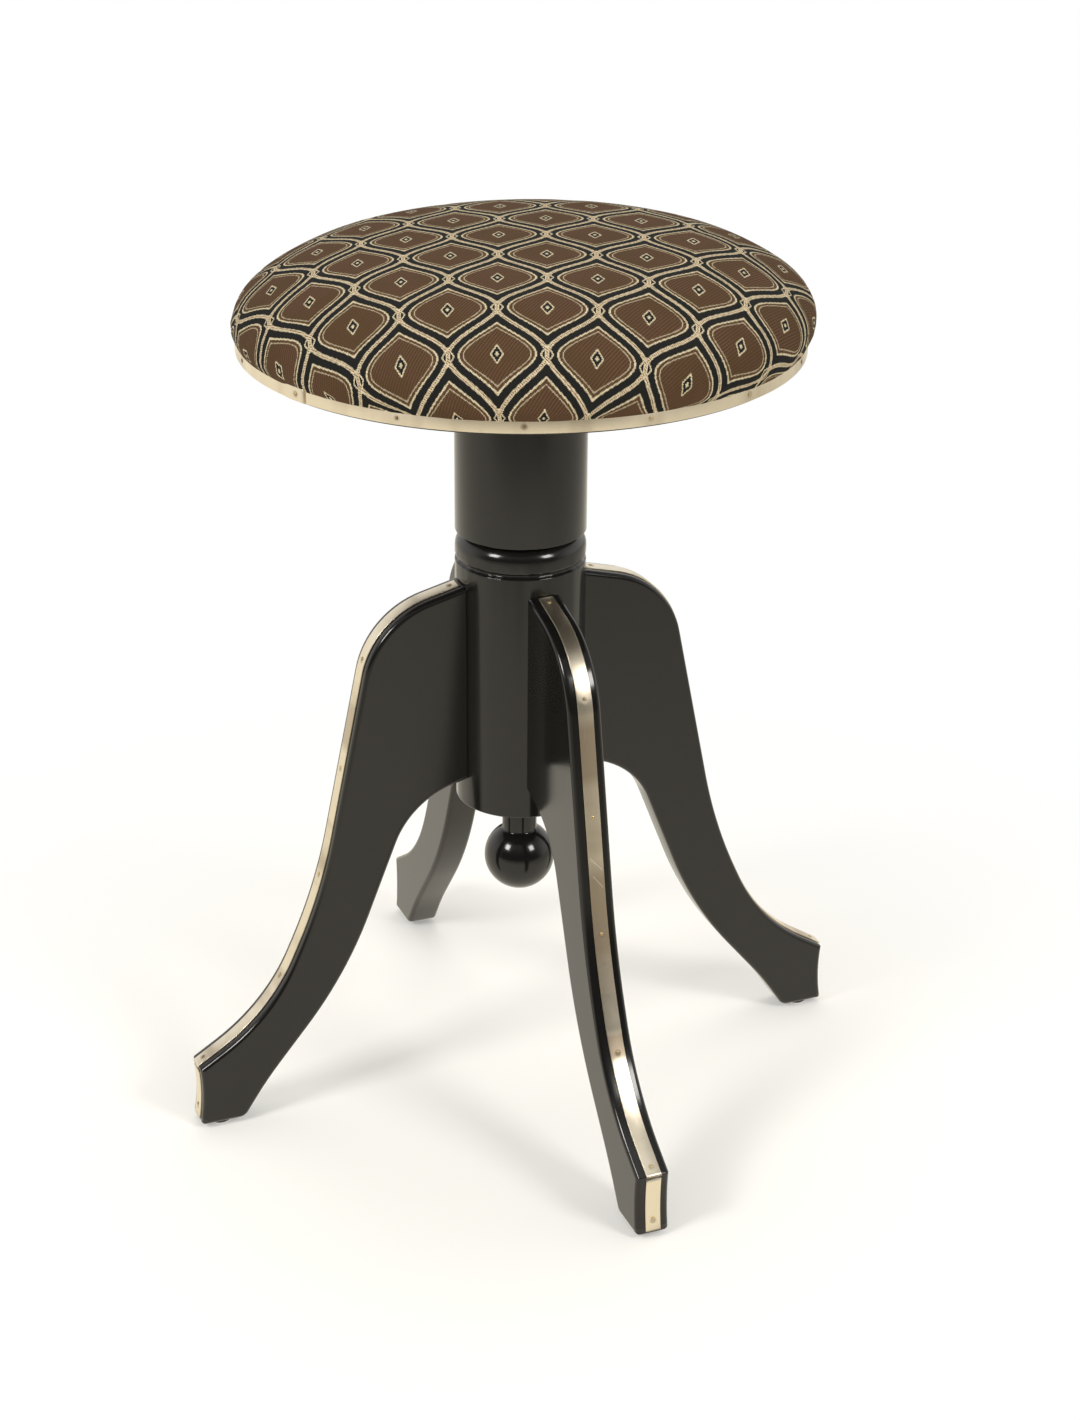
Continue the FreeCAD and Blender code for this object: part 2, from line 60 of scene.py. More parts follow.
def rounded_path(corners, radii, offset=0.0, steps=10, closed=False):
    """Straight runs joined by tangent arcs, all moved to their left by an offset.

    Each corner gives steps + 1 points on an arc about a centre on the corner's bisector,
    of the corner's radius less the offset on a left turn, or more on a right turn."""
    corners = np.array(corners, float)
    if closed:
        before, corner, after = np.roll(corners, 1, 0), corners, np.roll(corners, -1, 0)
    else:
        before, corner, after = corners[:-2], corners[1:-1], corners[2:]
    into, away = corner - before, after - corner
    into /= np.linalg.norm(into, axis=1, keepdims=True)
    away /= np.linalg.norm(away, axis=1, keepdims=True)
    turn = np.arctan2(into[:, 0] * away[:, 1] - into[:, 1] * away[:, 0], (into * away).sum(1))
    side = np.sign(turn)
    radius = np.maximum(np.array(radii, float) - side * offset, 1e-5)
    left = np.stack([-into[:, 1], into[:, 0]], 1)
    mitre = corner + (left - into * np.tan(turn / 2)[:, None]) * offset
    start = mitre - into * (radius * np.tan(np.abs(turn) / 2))[:, None]
    centre = start + left * (side * radius)[:, None]
    swing = turn[:, None] * np.linspace(0, 1, steps + 1)
    spoke = -left * side[:, None]
    across = np.stack([-spoke[:, 1], spoke[:, 0]], 1)
    cos, sin = np.cos(swing)[..., None], np.sin(swing)[..., None]
    arcs = centre[:, None] + radius[:, None, None] * (spoke[:, None] * cos + across[:, None] * sin)
    points = arcs.reshape(-1, 2)
    if closed:
        return points
    first_left = np.array([-into[0, 1], into[0, 0]])
    last_left = np.array([-away[-1, 1], away[-1, 0]])
    return np.vstack([corners[0] + first_left * offset, points, corners[-1] + last_left * offset])


def skin(name, grids, caps=False, charts=()):
    """One mesh over grids of points, each of closed rings one after another: a face joins
    the points (i, j), (i, j + 1), (i + 1, j + 1) and (i + 1, j). Caps fill the end rings, and
    a chart gives each grid's cloth or metal coordinates, with a last column for the seam."""
    points, faces, chart_loops, start = [], [], [], 0
    for index, grid in enumerate(grids):
        grid = np.asarray(grid, float)
        rings, around = grid.shape[:2]
        number = start + np.arange(rings * around).reshape(rings, around)
        ahead = np.roll(number, -1, 1)
        quads = np.stack([number[:-1], ahead[:-1], ahead[1:], number[1:]], -1)
        faces += quads.reshape(-1, 4).tolist()
        if caps:
            faces += [number[0][::-1].tolist(), number[-1].tolist()]
        if len(charts):
            chart = np.asarray(charts[index], float)
            corners = [chart[:-1, :-1], chart[:-1, 1:], chart[1:, 1:], chart[1:, :-1]]
            chart_loops.append(np.stack(corners, 2).reshape(-1, 2))
            if caps:
                chart_loops += [chart[0, :-1][::-1], chart[-1, :-1]]
        points.append(grid.reshape(-1, 3))
        start += rings * around
    mesh = bpy.data.meshes.new(name)
    mesh.from_pydata(np.vstack(points).tolist(), [], faces)
    mesh.polygons.foreach_set("use_smooth", [len(face) == 4 for face in faces])
    if len(charts):
        layer = mesh.uv_layers.new(name="chart")
        layer.data.foreach_set("uv", np.vstack(chart_loops).ravel())
    shape = bmesh.new()
    shape.from_mesh(mesh)
    bmesh.ops.remove_doubles(shape, verts=shape.verts, dist=1e-6)
    bmesh.ops.recalc_face_normals(shape, faces=shape.faces)
    shape.to_mesh(mesh)
    shape.free()
    piece = bpy.data.objects.new(name, mesh)
    bpy.context.scene.collection.objects.link(piece)
    return piece


def lathe(profile, sides=TURNED_SIDES, lump=None):
    """Rings of a turned piece: each profile point (r, z) goes round the Z axis at
    (r cos a, r sin a, z), and a lump function of a and z may add to r."""
    profile = np.array(profile, float)
    angle = np.linspace(0, 2 * np.pi, sides, endpoint=False)
    radius = np.repeat(profile[:, :1], sides, 1)
    if lump:
        radius = radius + lump(angle[None, :], profile[:, 1:])
    height = np.repeat(profile[:, 1:], sides, 1)
    return np.stack([radius * np.cos(angle), radius * np.sin(angle), height], -1)


class Value:
    """One output of a finish's nodes, in arithmetic with numbers and other outputs."""

    def __init__(self, finish, socket):
        self.finish, self.socket = finish, socket

    def math(self, operation, *values):
        return self.finish.node("ShaderNodeMath", {"operation": operation},
                                dict(enumerate(values)))

    def __add__(self, other):
        return self.math("ADD", self, other)

    def __sub__(self, other):
        return self.math("SUBTRACT", self, other)

    def __rsub__(self, other):
        return self.math("SUBTRACT", other, self)

    def __mul__(self, other):
        return self.math("MULTIPLY", self, other)

    def __truediv__(self, other):
        return self.math("DIVIDE", self, other)

    def __pow__(self, other):
        return self.math("POWER", self, other)

    def __abs__(self):
        return self.math("ABSOLUTE", self)

    __radd__, __rmul__ = __add__, __mul__

    def least(self, other):
        return self.math("MINIMUM", self, other)

    def most(self, other):
        return self.math("MAXIMUM", self, other)

    def sine(self):
        return self.math("SINE", self)

    def cosine(self):
        return self.math("COSINE", self)

    def wave(self):
        """A sine wave from 0 to 1, one for each whole number of this value."""
        return (self * (2 * math.pi)).sine() * 0.5 + 0.5

    def from_whole(self):
        """The distance to the nearest whole number."""
        return abs(self.math("FRACT", self + 0.5) - 0.5)

    def rise(self, low, high):
        """0 below low and 1 above high, with a smooth rise between."""
        return self.finish.node("ShaderNodeMapRange", {"interpolation_type": "SMOOTHSTEP"},
                                {"Value": self, "From Min": low, "From Max": high})


class Finish:
    """A node tree, here a material's, and the surface shader that its nodes feed."""

    def __init__(self, name, owner=None):
        self.owner = owner or bpy.data.materials.new(name)
        self.owner.use_nodes = True
        self.tree = self.owner.node_tree
        self.surface = self.tree.nodes.get("Principled BSDF")

    def node(self, kind, settings, sockets, out=0):
        """A node of a kind: its settings come first, then its sockets' values or links. It
        gives the output that is named, or each of several."""
        node = self.tree.nodes.new(kind)
        for key, value in settings.items():
            setattr(node, key, value)
        for key, value in sockets.items():
            self.feed(node.inputs[key], value)
        if isinstance(out, tuple):
            return [Value(self, node.outputs[name]) for name in out]
        return Value(self, node.outputs[out])

    def feed(self, socket, value):
        if isinstance(value, Value):
            self.tree.links.new(value.socket, socket)
        elif isinstance(value, (int, float)):
            socket.default_value = value
        else:
            socket.default_value = (*value, 1.0) if len(socket.default_value) == 4 else value

    def place(self, source="Object", stretch=(1, 1, 1), turn=(0, 0, 0), shift=(0, 0, 0)):
        """A piece's own coordinates, in metres, stretched, turned and shifted."""
        here = self.node("ShaderNodeTexCoord", {}, {}, source)
        return self.node("ShaderNodeMapping", {}, {"Vector": here, "Scale": stretch,
                                                   "Rotation": turn, "Location": shift})

    def parts(self, vector):
        """A vector's three numbers."""
        return self.node("ShaderNodeSeparateXYZ", {}, {0: vector}, out=("X", "Y", "Z"))

    def noise(self, place, scale, detail=3.0, rough=0.5):
        return self.node("ShaderNodeTexNoise", {}, {"Vector": place, "Scale": scale,
                                                    "Detail": detail, "Roughness": rough})

    def blend(self, amount, one, other):
        """One colour turning into the other as the amount goes from 0 to 1."""
        return self.node("ShaderNodeMix", {"data_type": "RGBA"},
                         {0: amount, 6: one, 7: other}, out=2)

    def relief(self, height, depth, strength=1.0):
        """Bumps from a height field of 0 to 1, with a depth in metres."""
        bump = self.node("ShaderNodeBump", {}, {"Height": height, "Distance": depth,
                                                "Strength": strength})
        self.feed(self.surface.inputs["Normal"], bump)

    def set(self, **sockets):
        for name, value in sockets.items():
            self.feed(self.surface.inputs[name.replace("_", " ")], value)


def black_lacquer():
    """Black lacquer: nearly black, with a soft gloss that varies in broad strokes, faint
    ripples, dust specks, and brown wood that shows a little where it is rubbed."""
    finish = Finish("black_lacquer")
    place = finish.place()
    strokes = finish.noise(finish.place(stretch=(1, 1, 0.15)), 70, 4)
    broad = finish.noise(place, 9, 2)
    specks = finish.noise(place, 900, 1).rise(0.70, 0.76)
    rubbed = finish.noise(place, 240, 4, 0.7).rise(0.64, 0.74) * broad.rise(0.52, 0.68)
    colour = finish.blend(broad, (0.0050, 0.0048, 0.0044), (0.0078, 0.0074, 0.0064))
    colour = finish.blend(rubbed * 0.5, colour, (0.026, 0.019, 0.012))
    finish.set(Base_Color=colour, Roughness=0.09 + 0.07 * strokes + 0.05 * broad,
               Specular_Tint=(1.0, 0.975, 0.95))
    finish.relief(0.5 * strokes + 0.4 * broad + 0.1 * specks, 0.00007, 0.5)
    return finish.owner


def dress(piece, body, material, slot, *nodes):
    """Gives a new piece its finish and its body, and hides the nodes it stands for."""
    piece.data.materials.append(material)
    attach(piece, body)
    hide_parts(*nodes)


def carry_over(material, *nodes):
    """Gives nodes that stay as they are a better finish."""
    for node in nodes:
        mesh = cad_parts[node].data
        mesh.materials.clear()
        mesh.materials.append(material)


def groove_lumps(angle, height):
    """Lacquer pooled unevenly in the groove: sine waves round the axis, which fade out with
    the square of the distance from the groove."""
    near = np.exp(-((height - (BEAD_FOOT - GROOVE_WIDTH / 2)) / GROOVE_WIDTH) ** 2)
    ripple = np.sin(7 * angle + 1) + 0.7 * np.sin(17 * angle) + 0.5 * np.sin(31 * angle + 2)
    return LACQUER_POOLING * near * ripple


lacquer = black_lacquer()
column_edge = rounded_path(
    [(0.0, COLUMN_FOOT), (COLUMN_RADIUS, COLUMN_FOOT), (COLUMN_RADIUS, BEAD_FOOT - GROOVE_WIDTH),
     (COLUMN_RADIUS - GROOVE_DEPTH, BEAD_FOOT - GROOVE_WIDTH / 2), (COLUMN_RADIUS, BEAD_FOOT),
     (COLUMN_RADIUS, COLUMN_TOP), (NUT_SEAT_RADIUS, COLUMN_TOP)],
    [FOOT_ROUND] + GROOVE_ROUNDS + [SHOULDER_ROUND])
column_bore = [(NUT_SEAT_RADIUS, COLUMN_TOP - NUT_SEAT_DEPTH),
               (CHAMBER_RADIUS, COLUMN_TOP - NUT_SEAT_DEPTH),
               (CHAMBER_RADIUS, CHAMBER_FLOOR), (0.0, CHAMBER_FLOOR)]
column = skin("turned_column", [lathe(np.vstack([column_edge, column_bore]),
                                      lump=groove_lumps)])
dress(column, "base", lacquer, "black_lacquer", "column")

# The ball finial: a ball and neck turned in one with a tenon, which is glued into the
# column's foot. It has the column's lacquer, and the neck meets the ball in a sharp line.
BALL_RADIUS = 0.022
NECK_RADIUS = 0.011
NECK_LENGTH = 0.0255
NECK_WAIST = NECK_RADIUS - 0.0002
TENON_END = COLUMN_FOOT + 0.001

ball_top = COLUMN_FOOT - NECK_LENGTH
ball_centre = ball_top - math.sqrt(BALL_RADIUS ** 2 - NECK_RADIUS ** 2)
ball_turn = np.linspace(-math.pi / 2, math.acos(NECK_RADIUS / BALL_RADIUS), 48)
ball_edge = np.stack([BALL_RADIUS * np.cos(ball_turn),
                      ball_centre + BALL_RADIUS * np.sin(ball_turn)], 1)
neck_edge = rounded_path([(NECK_RADIUS, ball_top), (NECK_WAIST, ball_top + 0.0006),
                          (NECK_WAIST, TENON_END), (0.0, TENON_END)], [0.0003, 0.0001], steps=3)
finial = skin("turned_finial", [lathe(np.vstack([ball_edge, neck_edge]))])
dress(finial, "base", lacquer, "black_lacquer", "ball_finial")

# The four legs: S-shaped boards sawn from 21 mm hardwood, with rounded edges, doweled and
# glued to the column and lacquered with it. The toe is slightly hollow, the heel is rounded
# and the sole is flat.
LEG_NAMES = ["right", "back", "left", "front"]
LEG_THICKNESS = 0.021
LEG_EDGE_ROUND = 0.003
LEG_ROOT = 0.0366
ROOT_TOP = 0.34098
ROOT_FOOT = 0.21362
SOLE = 0.003
HAUNCH = (0.0960, 0.3259)
WAIST = (0.1329, 0.1500)
KNEE = (0.1681, 0.0728)
TOE_TOP = (0.2155, 0.0432)
TOE_HOLLOW = (0.2133, 0.0231)
TOE_FOOT = (0.2167, SOLE)
HEEL = (0.1882, SOLE)
INSTEP = (0.1726, 0.0267)
HOLLOW = (0.1188, 0.0919)
ARMPIT = (0.0748, 0.2032)
OUTER_ROUNDS = [0.0569, 0.345, 0.1266]
TOE_TOP_ROUND = 0.0012
TOE_HOLLOW_ROUND = 0.128
TOE_FOOT_ROUND = 0.0022
HEEL_ROUND = 0.007
SHARP = 1e-5
INNER_ROUNDS = [0.254, 0.261, 0.055]
WOOD_STEPS = 16


def turned(points, quarter):
    """Points of the leg toward +X, turned about the Z axis by quarter turns."""
    cos, sin = [(1, 0), (0, 1), (-1, 0), (0, -1)][quarter]
    x, y, z = np.moveaxis(np.asarray(points, float), -1, 0)
    return np.stack([x * cos - y * sin, x * sin + y * cos, z], -1)


def leg_rings():
    """Rings of a board with quarter-round edges: at an angle a of the round, the outline is
    drawn in by r (1 - sin a) and lies r (1 - cos a) inside the board's face."""
    corners = [(LEG_ROOT, ROOT_TOP), HAUNCH, WAIST, KNEE, TOE_TOP, TOE_HOLLOW, TOE_FOOT, HEEL,
               INSTEP, HOLLOW, ARMPIT, (LEG_ROOT, ROOT_FOOT)]
    rounds = ([SHARP] + OUTER_ROUNDS + [TOE_TOP_ROUND, TOE_HOLLOW_ROUND, TOE_FOOT_ROUND]
              + [HEEL_ROUND] + INNER_ROUNDS + [SHARP])
    rings = []
    for side in (-1, 1):
        for turn in np.linspace(0, math.pi / 2, 7)[::-side]:
            inset = LEG_EDGE_ROUND * (1 - math.sin(turn))
            y = side * (LEG_THICKNESS / 2 - LEG_EDGE_ROUND * (1 - math.cos(turn)))
            outline = rounded_path(corners, rounds, -inset, WOOD_STEPS, closed=True)
            rings.append(np.insert(outline, 1, y, axis=1))
    return np.array(rings)


for quarter, leg_name in enumerate(LEG_NAMES):
    leg = skin("leg_board_" + leg_name, [turned(leg_rings(), quarter)], caps=True)
    dress(leg, "base", lacquer, "black_lacquer", "leg_" + leg_name)

# The dowels: short pegs of pale beech, two to a leg, grooved along their length so that the
# glue can spread. They join the legs to the column and are out of sight.
dowel_wood = Finish("beech_dowel")
beech_grain = dowel_wood.noise(dowel_wood.place(stretch=(0.1, 0.1, 1)), 900, 4, 0.6)
dowel_wood.set(Base_Color=dowel_wood.blend(beech_grain, (0.48, 0.31, 0.17), (0.66, 0.47, 0.29)),
               Roughness=0.55 + 0.2 * beech_grain)
dowel_wood.relief(beech_grain, 0.0001, 0.4)
carry_over(dowel_wood.owner, "leg_dowels")

# The nickel strips: flat strip rolled with eased edges, brushed lengthwise and laid along
# the outer edge of each leg, and a second short one down each toe. Handling has dulled them.
STRIP_WIDTH = 0.0095
STRIP_THICKNESS = 0.0008
STRIP_START = 0.0405
STRIP_START_Z = 0.33999
STRIP_EDGE_ROUND = 0.00028
LAY_GAP = 0.00005
TOE_STRIP_FOOT = 0.004
TOE_STRIP_TOP = 0.0422
EDGE_PIN_MARGIN = 0.0055
EDGE_PIN_COUNT = 6
TOE_PIN_HEIGHT = 0.0135
PATH_STEP = 0.0016
STRIP_ARC_STEPS = 48
FRONT_CHART_START = 3.0
FRONT_SCRATCHES = [(0.0, 3.176, 1.1, 0.0040, 0.00035), (0.0006, 3.187, 1.3, 0.0034, 0.0003),
                   (-0.001, 3.093, -6.0, 0.0012, 0.0003)]
FRONT_STAINS = [(3.207, 0.036), (3.108, 0.024), (3.287, 0.010)]
NO_MORE_PINS = 10.0


def brushed_nickel(name, pin_margin, pin_step, wear=1.0, scratches=(), stains=()):
    """Brushed nickel strip, charted in metres across and along. Fine strokes run along it,
    warm and brown tarnish comes in patches, more of it with more wear, and each pin has a
    ring of grime. A scratch is a line through a point of the chart at a slope, with a half
    length and a half width. A stain dulls a stretch along the strip, given by its middle
    and its half length."""
    finish = Finish(name)
    across, along, _ = finish.parts(finish.place("UV"))
    strokes = finish.noise(finish.place("UV", (1, 0.03, 1)), 3600, 3, 0.6)
    bands = finish.noise(finish.place("UV", (0.25, 1, 1)), 22, 3, 0.55)
    mottle = finish.noise(finish.place("UV"), 260, 5, 0.65)
    dull = bands.rise(0.47, 0.63) * wear
    for middle_along, half_length in stains:
        dull = dull.most(1 - abs(along - middle_along).rise(half_length * 0.55, half_length))
    spots = mottle.rise(0.60, 0.74) * wear
    pin_away = ((along - pin_margin) / pin_step).from_whole() * pin_step
    grime = 1 - ((across * across + pin_away * pin_away) ** 0.5).rise(0.0012, 0.0026)
    marks = 0.0
    for middle_across, middle_along, slope, half_length, half_width in scratches:
        off = abs((along - middle_along) - (across - middle_across) * slope)
        near = 1 - abs(across - middle_across).rise(half_length * 0.8, half_length)
        marks = ((1 - off.rise(half_width * 0.4, half_width)) * near).most(marks)
    colour = finish.blend(dull, (0.88, 0.79, 0.62), (0.45, 0.37, 0.27))
    colour = finish.blend(0.26 * strokes + 0.30 * spots, colour, (0.40, 0.305, 0.20))
    colour = finish.blend(grime * 0.35, colour, (0.10, 0.07, 0.04))
    colour = finish.blend(marks * 0.8, colour, (0.95, 0.90, 0.80))
    finish.set(Base_Color=colour, Metallic=1.0,
               Roughness=0.25 + 0.13 * dull + 0.10 * mottle + 0.2 * grime - 0.1 * marks)
    finish.relief(0.25 * strokes + 0.55 * bands + 0.2 * mottle - 0.5 * marks, 0.00025, 0.5)
    return finish


def even_path(path, spacing):
    """Points at even steps along a path, with the outward normal at each and its distance
    from the start. The normal is the tangent turned a quarter to the left."""
    lengths = np.append(0, np.cumsum(np.linalg.norm(np.diff(path, axis=0), axis=1)))
    distance = np.linspace(0, lengths[-1], max(int(lengths[-1] / spacing), 2))
    points = np.stack([np.interp(distance, lengths, path[:, k]) for k in (0, 1)], 1)
    run = np.gradient(points, axis=0)
    run /= np.linalg.norm(run, axis=1, keepdims=True)
    return points, np.stack([-run[:, 1], run[:, 0]], 1), distance


def strip_section(width, thickness, edge_round):
    """A closed ring round a flat strip's section, as (across, out) from its underside."""
    half = width / 2
    return rounded_path([(-half, 0), (half, 0), (half, thickness), (-half, thickness)],
                        [edge_round * 0.4] * 2 + [edge_round] * 2, steps=4, closed=True)


def carried(points, normals, distance, section, along_start):
    """A section carried along a path in the XZ plane: the point (across, out) of the section
    goes to the path's point + out * normal, at y = across. The chart is (across, distance)."""
    across, out = section[:, 0], section[:, 1]
    flat = points[:, None, :] + normals[:, None, :] * out[:, None]
    grid = np.stack([flat[..., 0], np.repeat(across[None, :], len(points), 0), flat[..., 1]], -1)
    closed_across = np.append(across, across[0])
    chart = np.stack(np.broadcast_arrays(closed_across[None, :],
                                         along_start + distance[:, None]), -1)
    return grid, chart


outer_edge = [(STRIP_START, STRIP_START_Z), HAUNCH, WAIST, KNEE, TOE_TOP]
last_run = np.subtract(TOE_TOP, KNEE) / np.linalg.norm(np.subtract(TOE_TOP, KNEE))
longer_edge = outer_edge[:-1] + [tuple(TOE_TOP + last_run * (STRIP_THICKNESS + LAY_GAP))]
strip_path = even_path(rounded_path(longer_edge, OUTER_ROUNDS, LAY_GAP, STRIP_ARC_STEPS),
                       PATH_STEP)
toe_line = rounded_path([TOE_TOP, TOE_HOLLOW, TOE_FOOT], [TOE_HOLLOW_ROUND], LAY_GAP, 40)
toe_line = toe_line[(toe_line[:, 1] > TOE_STRIP_FOOT) & (toe_line[:, 1] < TOE_STRIP_TOP)]
toe_path = even_path(toe_line, PATH_STEP)
section = strip_section(STRIP_WIDTH, STRIP_THICKNESS, STRIP_EDGE_ROUND)
strip_face = rounded_path(outer_edge, OUTER_ROUNDS, LAY_GAP + STRIP_THICKNESS, STRIP_ARC_STEPS)
pin_path = even_path(strip_face, PATH_STEP / 4)
edge_pin_step = (pin_path[2][-1] - 2 * EDGE_PIN_MARGIN) / (EDGE_PIN_COUNT - 1)
toe_pin_along = TOE_STRIP_TOP - TOE_PIN_HEIGHT
edge_nickel = brushed_nickel("brushed_nickel_edge", EDGE_PIN_MARGIN, edge_pin_step, wear=0.7)
front_nickel = brushed_nickel("brushed_nickel_front", EDGE_PIN_MARGIN + FRONT_CHART_START,
                              edge_pin_step, 0.5, FRONT_SCRATCHES, FRONT_STAINS)
toe_nickel = brushed_nickel("brushed_nickel_toe", toe_pin_along, NO_MORE_PINS)
for quarter, leg_name in enumerate(LEG_NAMES):
    chart_start = quarter * (EDGE_PIN_COUNT + 1) * edge_pin_step
    if leg_name == "front":
        chart_start = FRONT_CHART_START
    grid, chart = carried(*strip_path, section, chart_start)
    strip = skin("nickel_edge_" + leg_name, [turned(grid, quarter)], True, [chart])
    nickel = front_nickel if leg_name == "front" else edge_nickel
    dress(strip, "base", nickel.owner, "nickel", "edge_strip_" + leg_name)
    grid, chart = carried(*toe_path, section, 0.0)
    strip = skin("nickel_toe_" + leg_name, [turned(grid, quarter)], True, [chart])
    dress(strip, "base", toe_nickel.owner, "nickel", "toe_strip_" + leg_name)

# The strips' pins: small round-headed brass pins, tapped home through the strip into the
# wood and since darkened. Six stand along each edge and one on each toe.
PIN_HEAD_RADIUS = 0.00112
PIN_HEAD_HEIGHT = 0.00055
PIN_SINK = 0.0001


def old_brass():
    """Old brass pin heads: yellow brass gone brown, brighter where it is touched."""
    finish = Finish("old_brass_pin")
    tarnish = finish.noise(finish.place(), 1500, 3, 0.6)
    piece_tone = finish.noise(finish.place(), 31, 1)
    colour = finish.blend(tarnish, (0.46, 0.33, 0.17), (0.80, 0.64, 0.33))
    colour = finish.blend(piece_tone.rise(0.35, 0.6), (0.24, 0.17, 0.10), colour)
    finish.set(Base_Color=colour, Metallic=1.0, Roughness=0.28 + 0.25 * tarnish)
    finish.relief(tarnish, 0.0001, 0.4)
    return finish.owner


def pin_heads(places, outwards):
    """Domed heads: a dome of twelve sides over each place, with its height along the outward
    direction n and its rings along two directions square to n."""
    turn = np.linspace(0, math.pi / 2, 5)
    profile = [(0.0, PIN_HEAD_HEIGHT)] + [
        (PIN_HEAD_RADIUS * math.sin(t), PIN_HEAD_HEIGHT * math.cos(t)) for t in turn[1:]]
    profile += [(PIN_HEAD_RADIUS * 0.9, -PIN_SINK), (0.0, -PIN_SINK)]
    dome = lathe(profile, 12)
    outwards = np.asarray(outwards, float)
    side = np.cross(outwards, [0.0, 0.0, 1.0]) + np.array([0, 1e-9, 0])
    side /= np.linalg.norm(side, axis=1, keepdims=True)
    other = np.cross(outwards, side)
    axes = np.stack([side, other, outwards], 1)
    return [place + dome @ axis for place, axis in zip(np.asarray(places, float), axes)]


brass = old_brass()
pin_along = EDGE_PIN_MARGIN + edge_pin_step * np.arange(EDGE_PIN_COUNT)
pin_points = np.stack([np.interp(pin_along, pin_path[2], pin_path[0][:, k]) for k in (0, 1)], 1)
pin_normals = np.stack([np.interp(pin_along, pin_path[2], pin_path[1][:, k]) for k in (0, 1)], 1)
toe_index = np.abs(toe_path[0][:, 1] - TOE_PIN_HEIGHT).argmin()
toe_face = toe_path[0][toe_index] + toe_path[1][toe_index] * STRIP_THICKNESS
pin_points = np.vstack([pin_points, toe_face])
pin_normals = np.vstack([pin_normals, toe_path[1][toe_index]])
pin_points, pin_normals = np.insert(pin_points, 1, 0, 1), np.insert(pin_normals, 1, 0, 1)
for quarter, leg_name in enumerate(LEG_NAMES):
    heads = pin_heads(turned(pin_points, quarter), turned(pin_normals, quarter))
    pins = skin("pins_" + leg_name, heads)
    dress(pins, "base", brass, "pin_brass", "strip_pins_" + leg_name)

# The glides: low domes of pressed steel, one nailed under each foot. They are blackened, and
# worn bright where they stand on the floor.
GLIDE_RADIUS = 0.0075
GLIDE_ROUND = 0.0012
GLIDE_REACH = 0.20245


def worn_steel():
    """Blackened steel, worn through to bright metal towards the floor."""
    finish = Finish("worn_glide_steel")
    place = finish.place()
    height = finish.parts(place)[2]
    wear = finish.noise(place, 700, 4, 0.6)
    bright = 1 - (height + 0.0008 * wear).rise(0.0006, 0.0013)
    finish.set(Base_Color=finish.blend(bright, (0.020, 0.019, 0.018), (0.42, 0.40, 0.37)),
               Metallic=0.25 + 0.75 * bright, Roughness=0.35 + 0.2 * wear)
    finish.relief(wear, 0.0001, 0.5)
    return finish.owner


glide_edge = rounded_path(
    [(0.0, 0.0), (GLIDE_RADIUS - GLIDE_ROUND, 0.0), (GLIDE_RADIUS, GLIDE_ROUND),
     (GLIDE_RADIUS, SOLE), (0.0, SOLE)], [0.0015, GLIDE_ROUND, 0.0002], steps=4)
glide_rings = lathe(glide_edge, 48) + np.array([GLIDE_REACH, 0, 0])
glides = skin("steel_glides", [turned(glide_rings, quarter) for quarter in range(4)])
dress(glides, "base", worn_steel(), "glide_steel", "glides")

# The nut in the column's top: a flanged steel nut, let in flush and held by three screws
# with slotted heads. The seat's spindle runs in it, with a little grease on the metal.
NUT_SCREW_CIRCLE = 0.0205
NUT_SCREW_COUNT = 3
NUT_SCREW_HEAD = 0.0034
NUT_SCREW_DEPTH = 0.0022
SLOT_HALF_WIDTH = 0.00045
SLOT_DEPTH = 0.0008


def machined_steel(name, bright, dark, rough):
    """Turned steel with fine turning marks, darkened by oil in uneven patches."""
    finish = Finish(name)
    place = finish.place()
    marks = finish.noise(finish.place(stretch=(0.15, 0.15, 1)), 2200, 2)
    oil = finish.noise(place, 45, 4, 0.6)
    finish.set(Base_Color=finish.blend(oil.rise(0.35, 0.65), bright, dark), Metallic=1.0,
               Roughness=rough + 0.12 * oil + 0.08 * marks)
    finish.relief(0.7 * marks + 0.3 * oil, 0.00008, 0.5)
    return finish.owner


def screw_head(centre, radius, top, depth, turn):
    """A slotted head: a disc up to the slot's floor and, above that, two rings of the circle
    cut off at the slot's half width, all turned about the screw's own axis."""
    grids = []
    angle = np.linspace(0, 2 * np.pi, 28, endpoint=False)
    disc = np.stack([radius * np.cos(angle), radius * np.sin(angle)], 1)
    grids.append([np.insert(disc, 2, z, axis=1) for z in (top - depth, top - SLOT_DEPTH)])
    for side in (-1, 1):
        reach = math.acos(SLOT_HALF_WIDTH / radius)
        part = np.linspace(-reach, reach, 18)
        half = np.stack([side * radius * np.cos(part), radius * np.sin(part)], 1)
        grids.append([np.insert(half * scale, 2, z, axis=1) for scale, z in
                      ((1, top - SLOT_DEPTH), (1, top - 0.0002), (0.97, top))])
    cos, sin = math.cos(turn), math.sin(turn)
    spin = np.array([[cos, sin, 0], [-sin, cos, 0], [0, 0, 1]])
    return [np.array(grid) @ spin + np.array([centre[0], centre[1], 0]) for grid in grids]


bright_steel = machined_steel("bright_steel", (0.50, 0.47, 0.43), (0.24, 0.22, 0.20), 0.28)
carry_over(bright_steel, "spindle_nut")
nut_screw_heads = []
for number in range(NUT_SCREW_COUNT):
    turn = 2 * math.pi * number / NUT_SCREW_COUNT
    centre = (NUT_SCREW_CIRCLE * math.cos(turn), NUT_SCREW_CIRCLE * math.sin(turn))
    nut_screw_heads += screw_head(centre, NUT_SCREW_HEAD, COLUMN_TOP - LAY_GAP,
                                  NUT_SCREW_DEPTH, 0.6 + 1.9 * number)
nut_screws = skin("slotted_nut_screws", nut_screw_heads, caps=True)
dress(nut_screws, "base", bright_steel, "steel", "nut_screws")

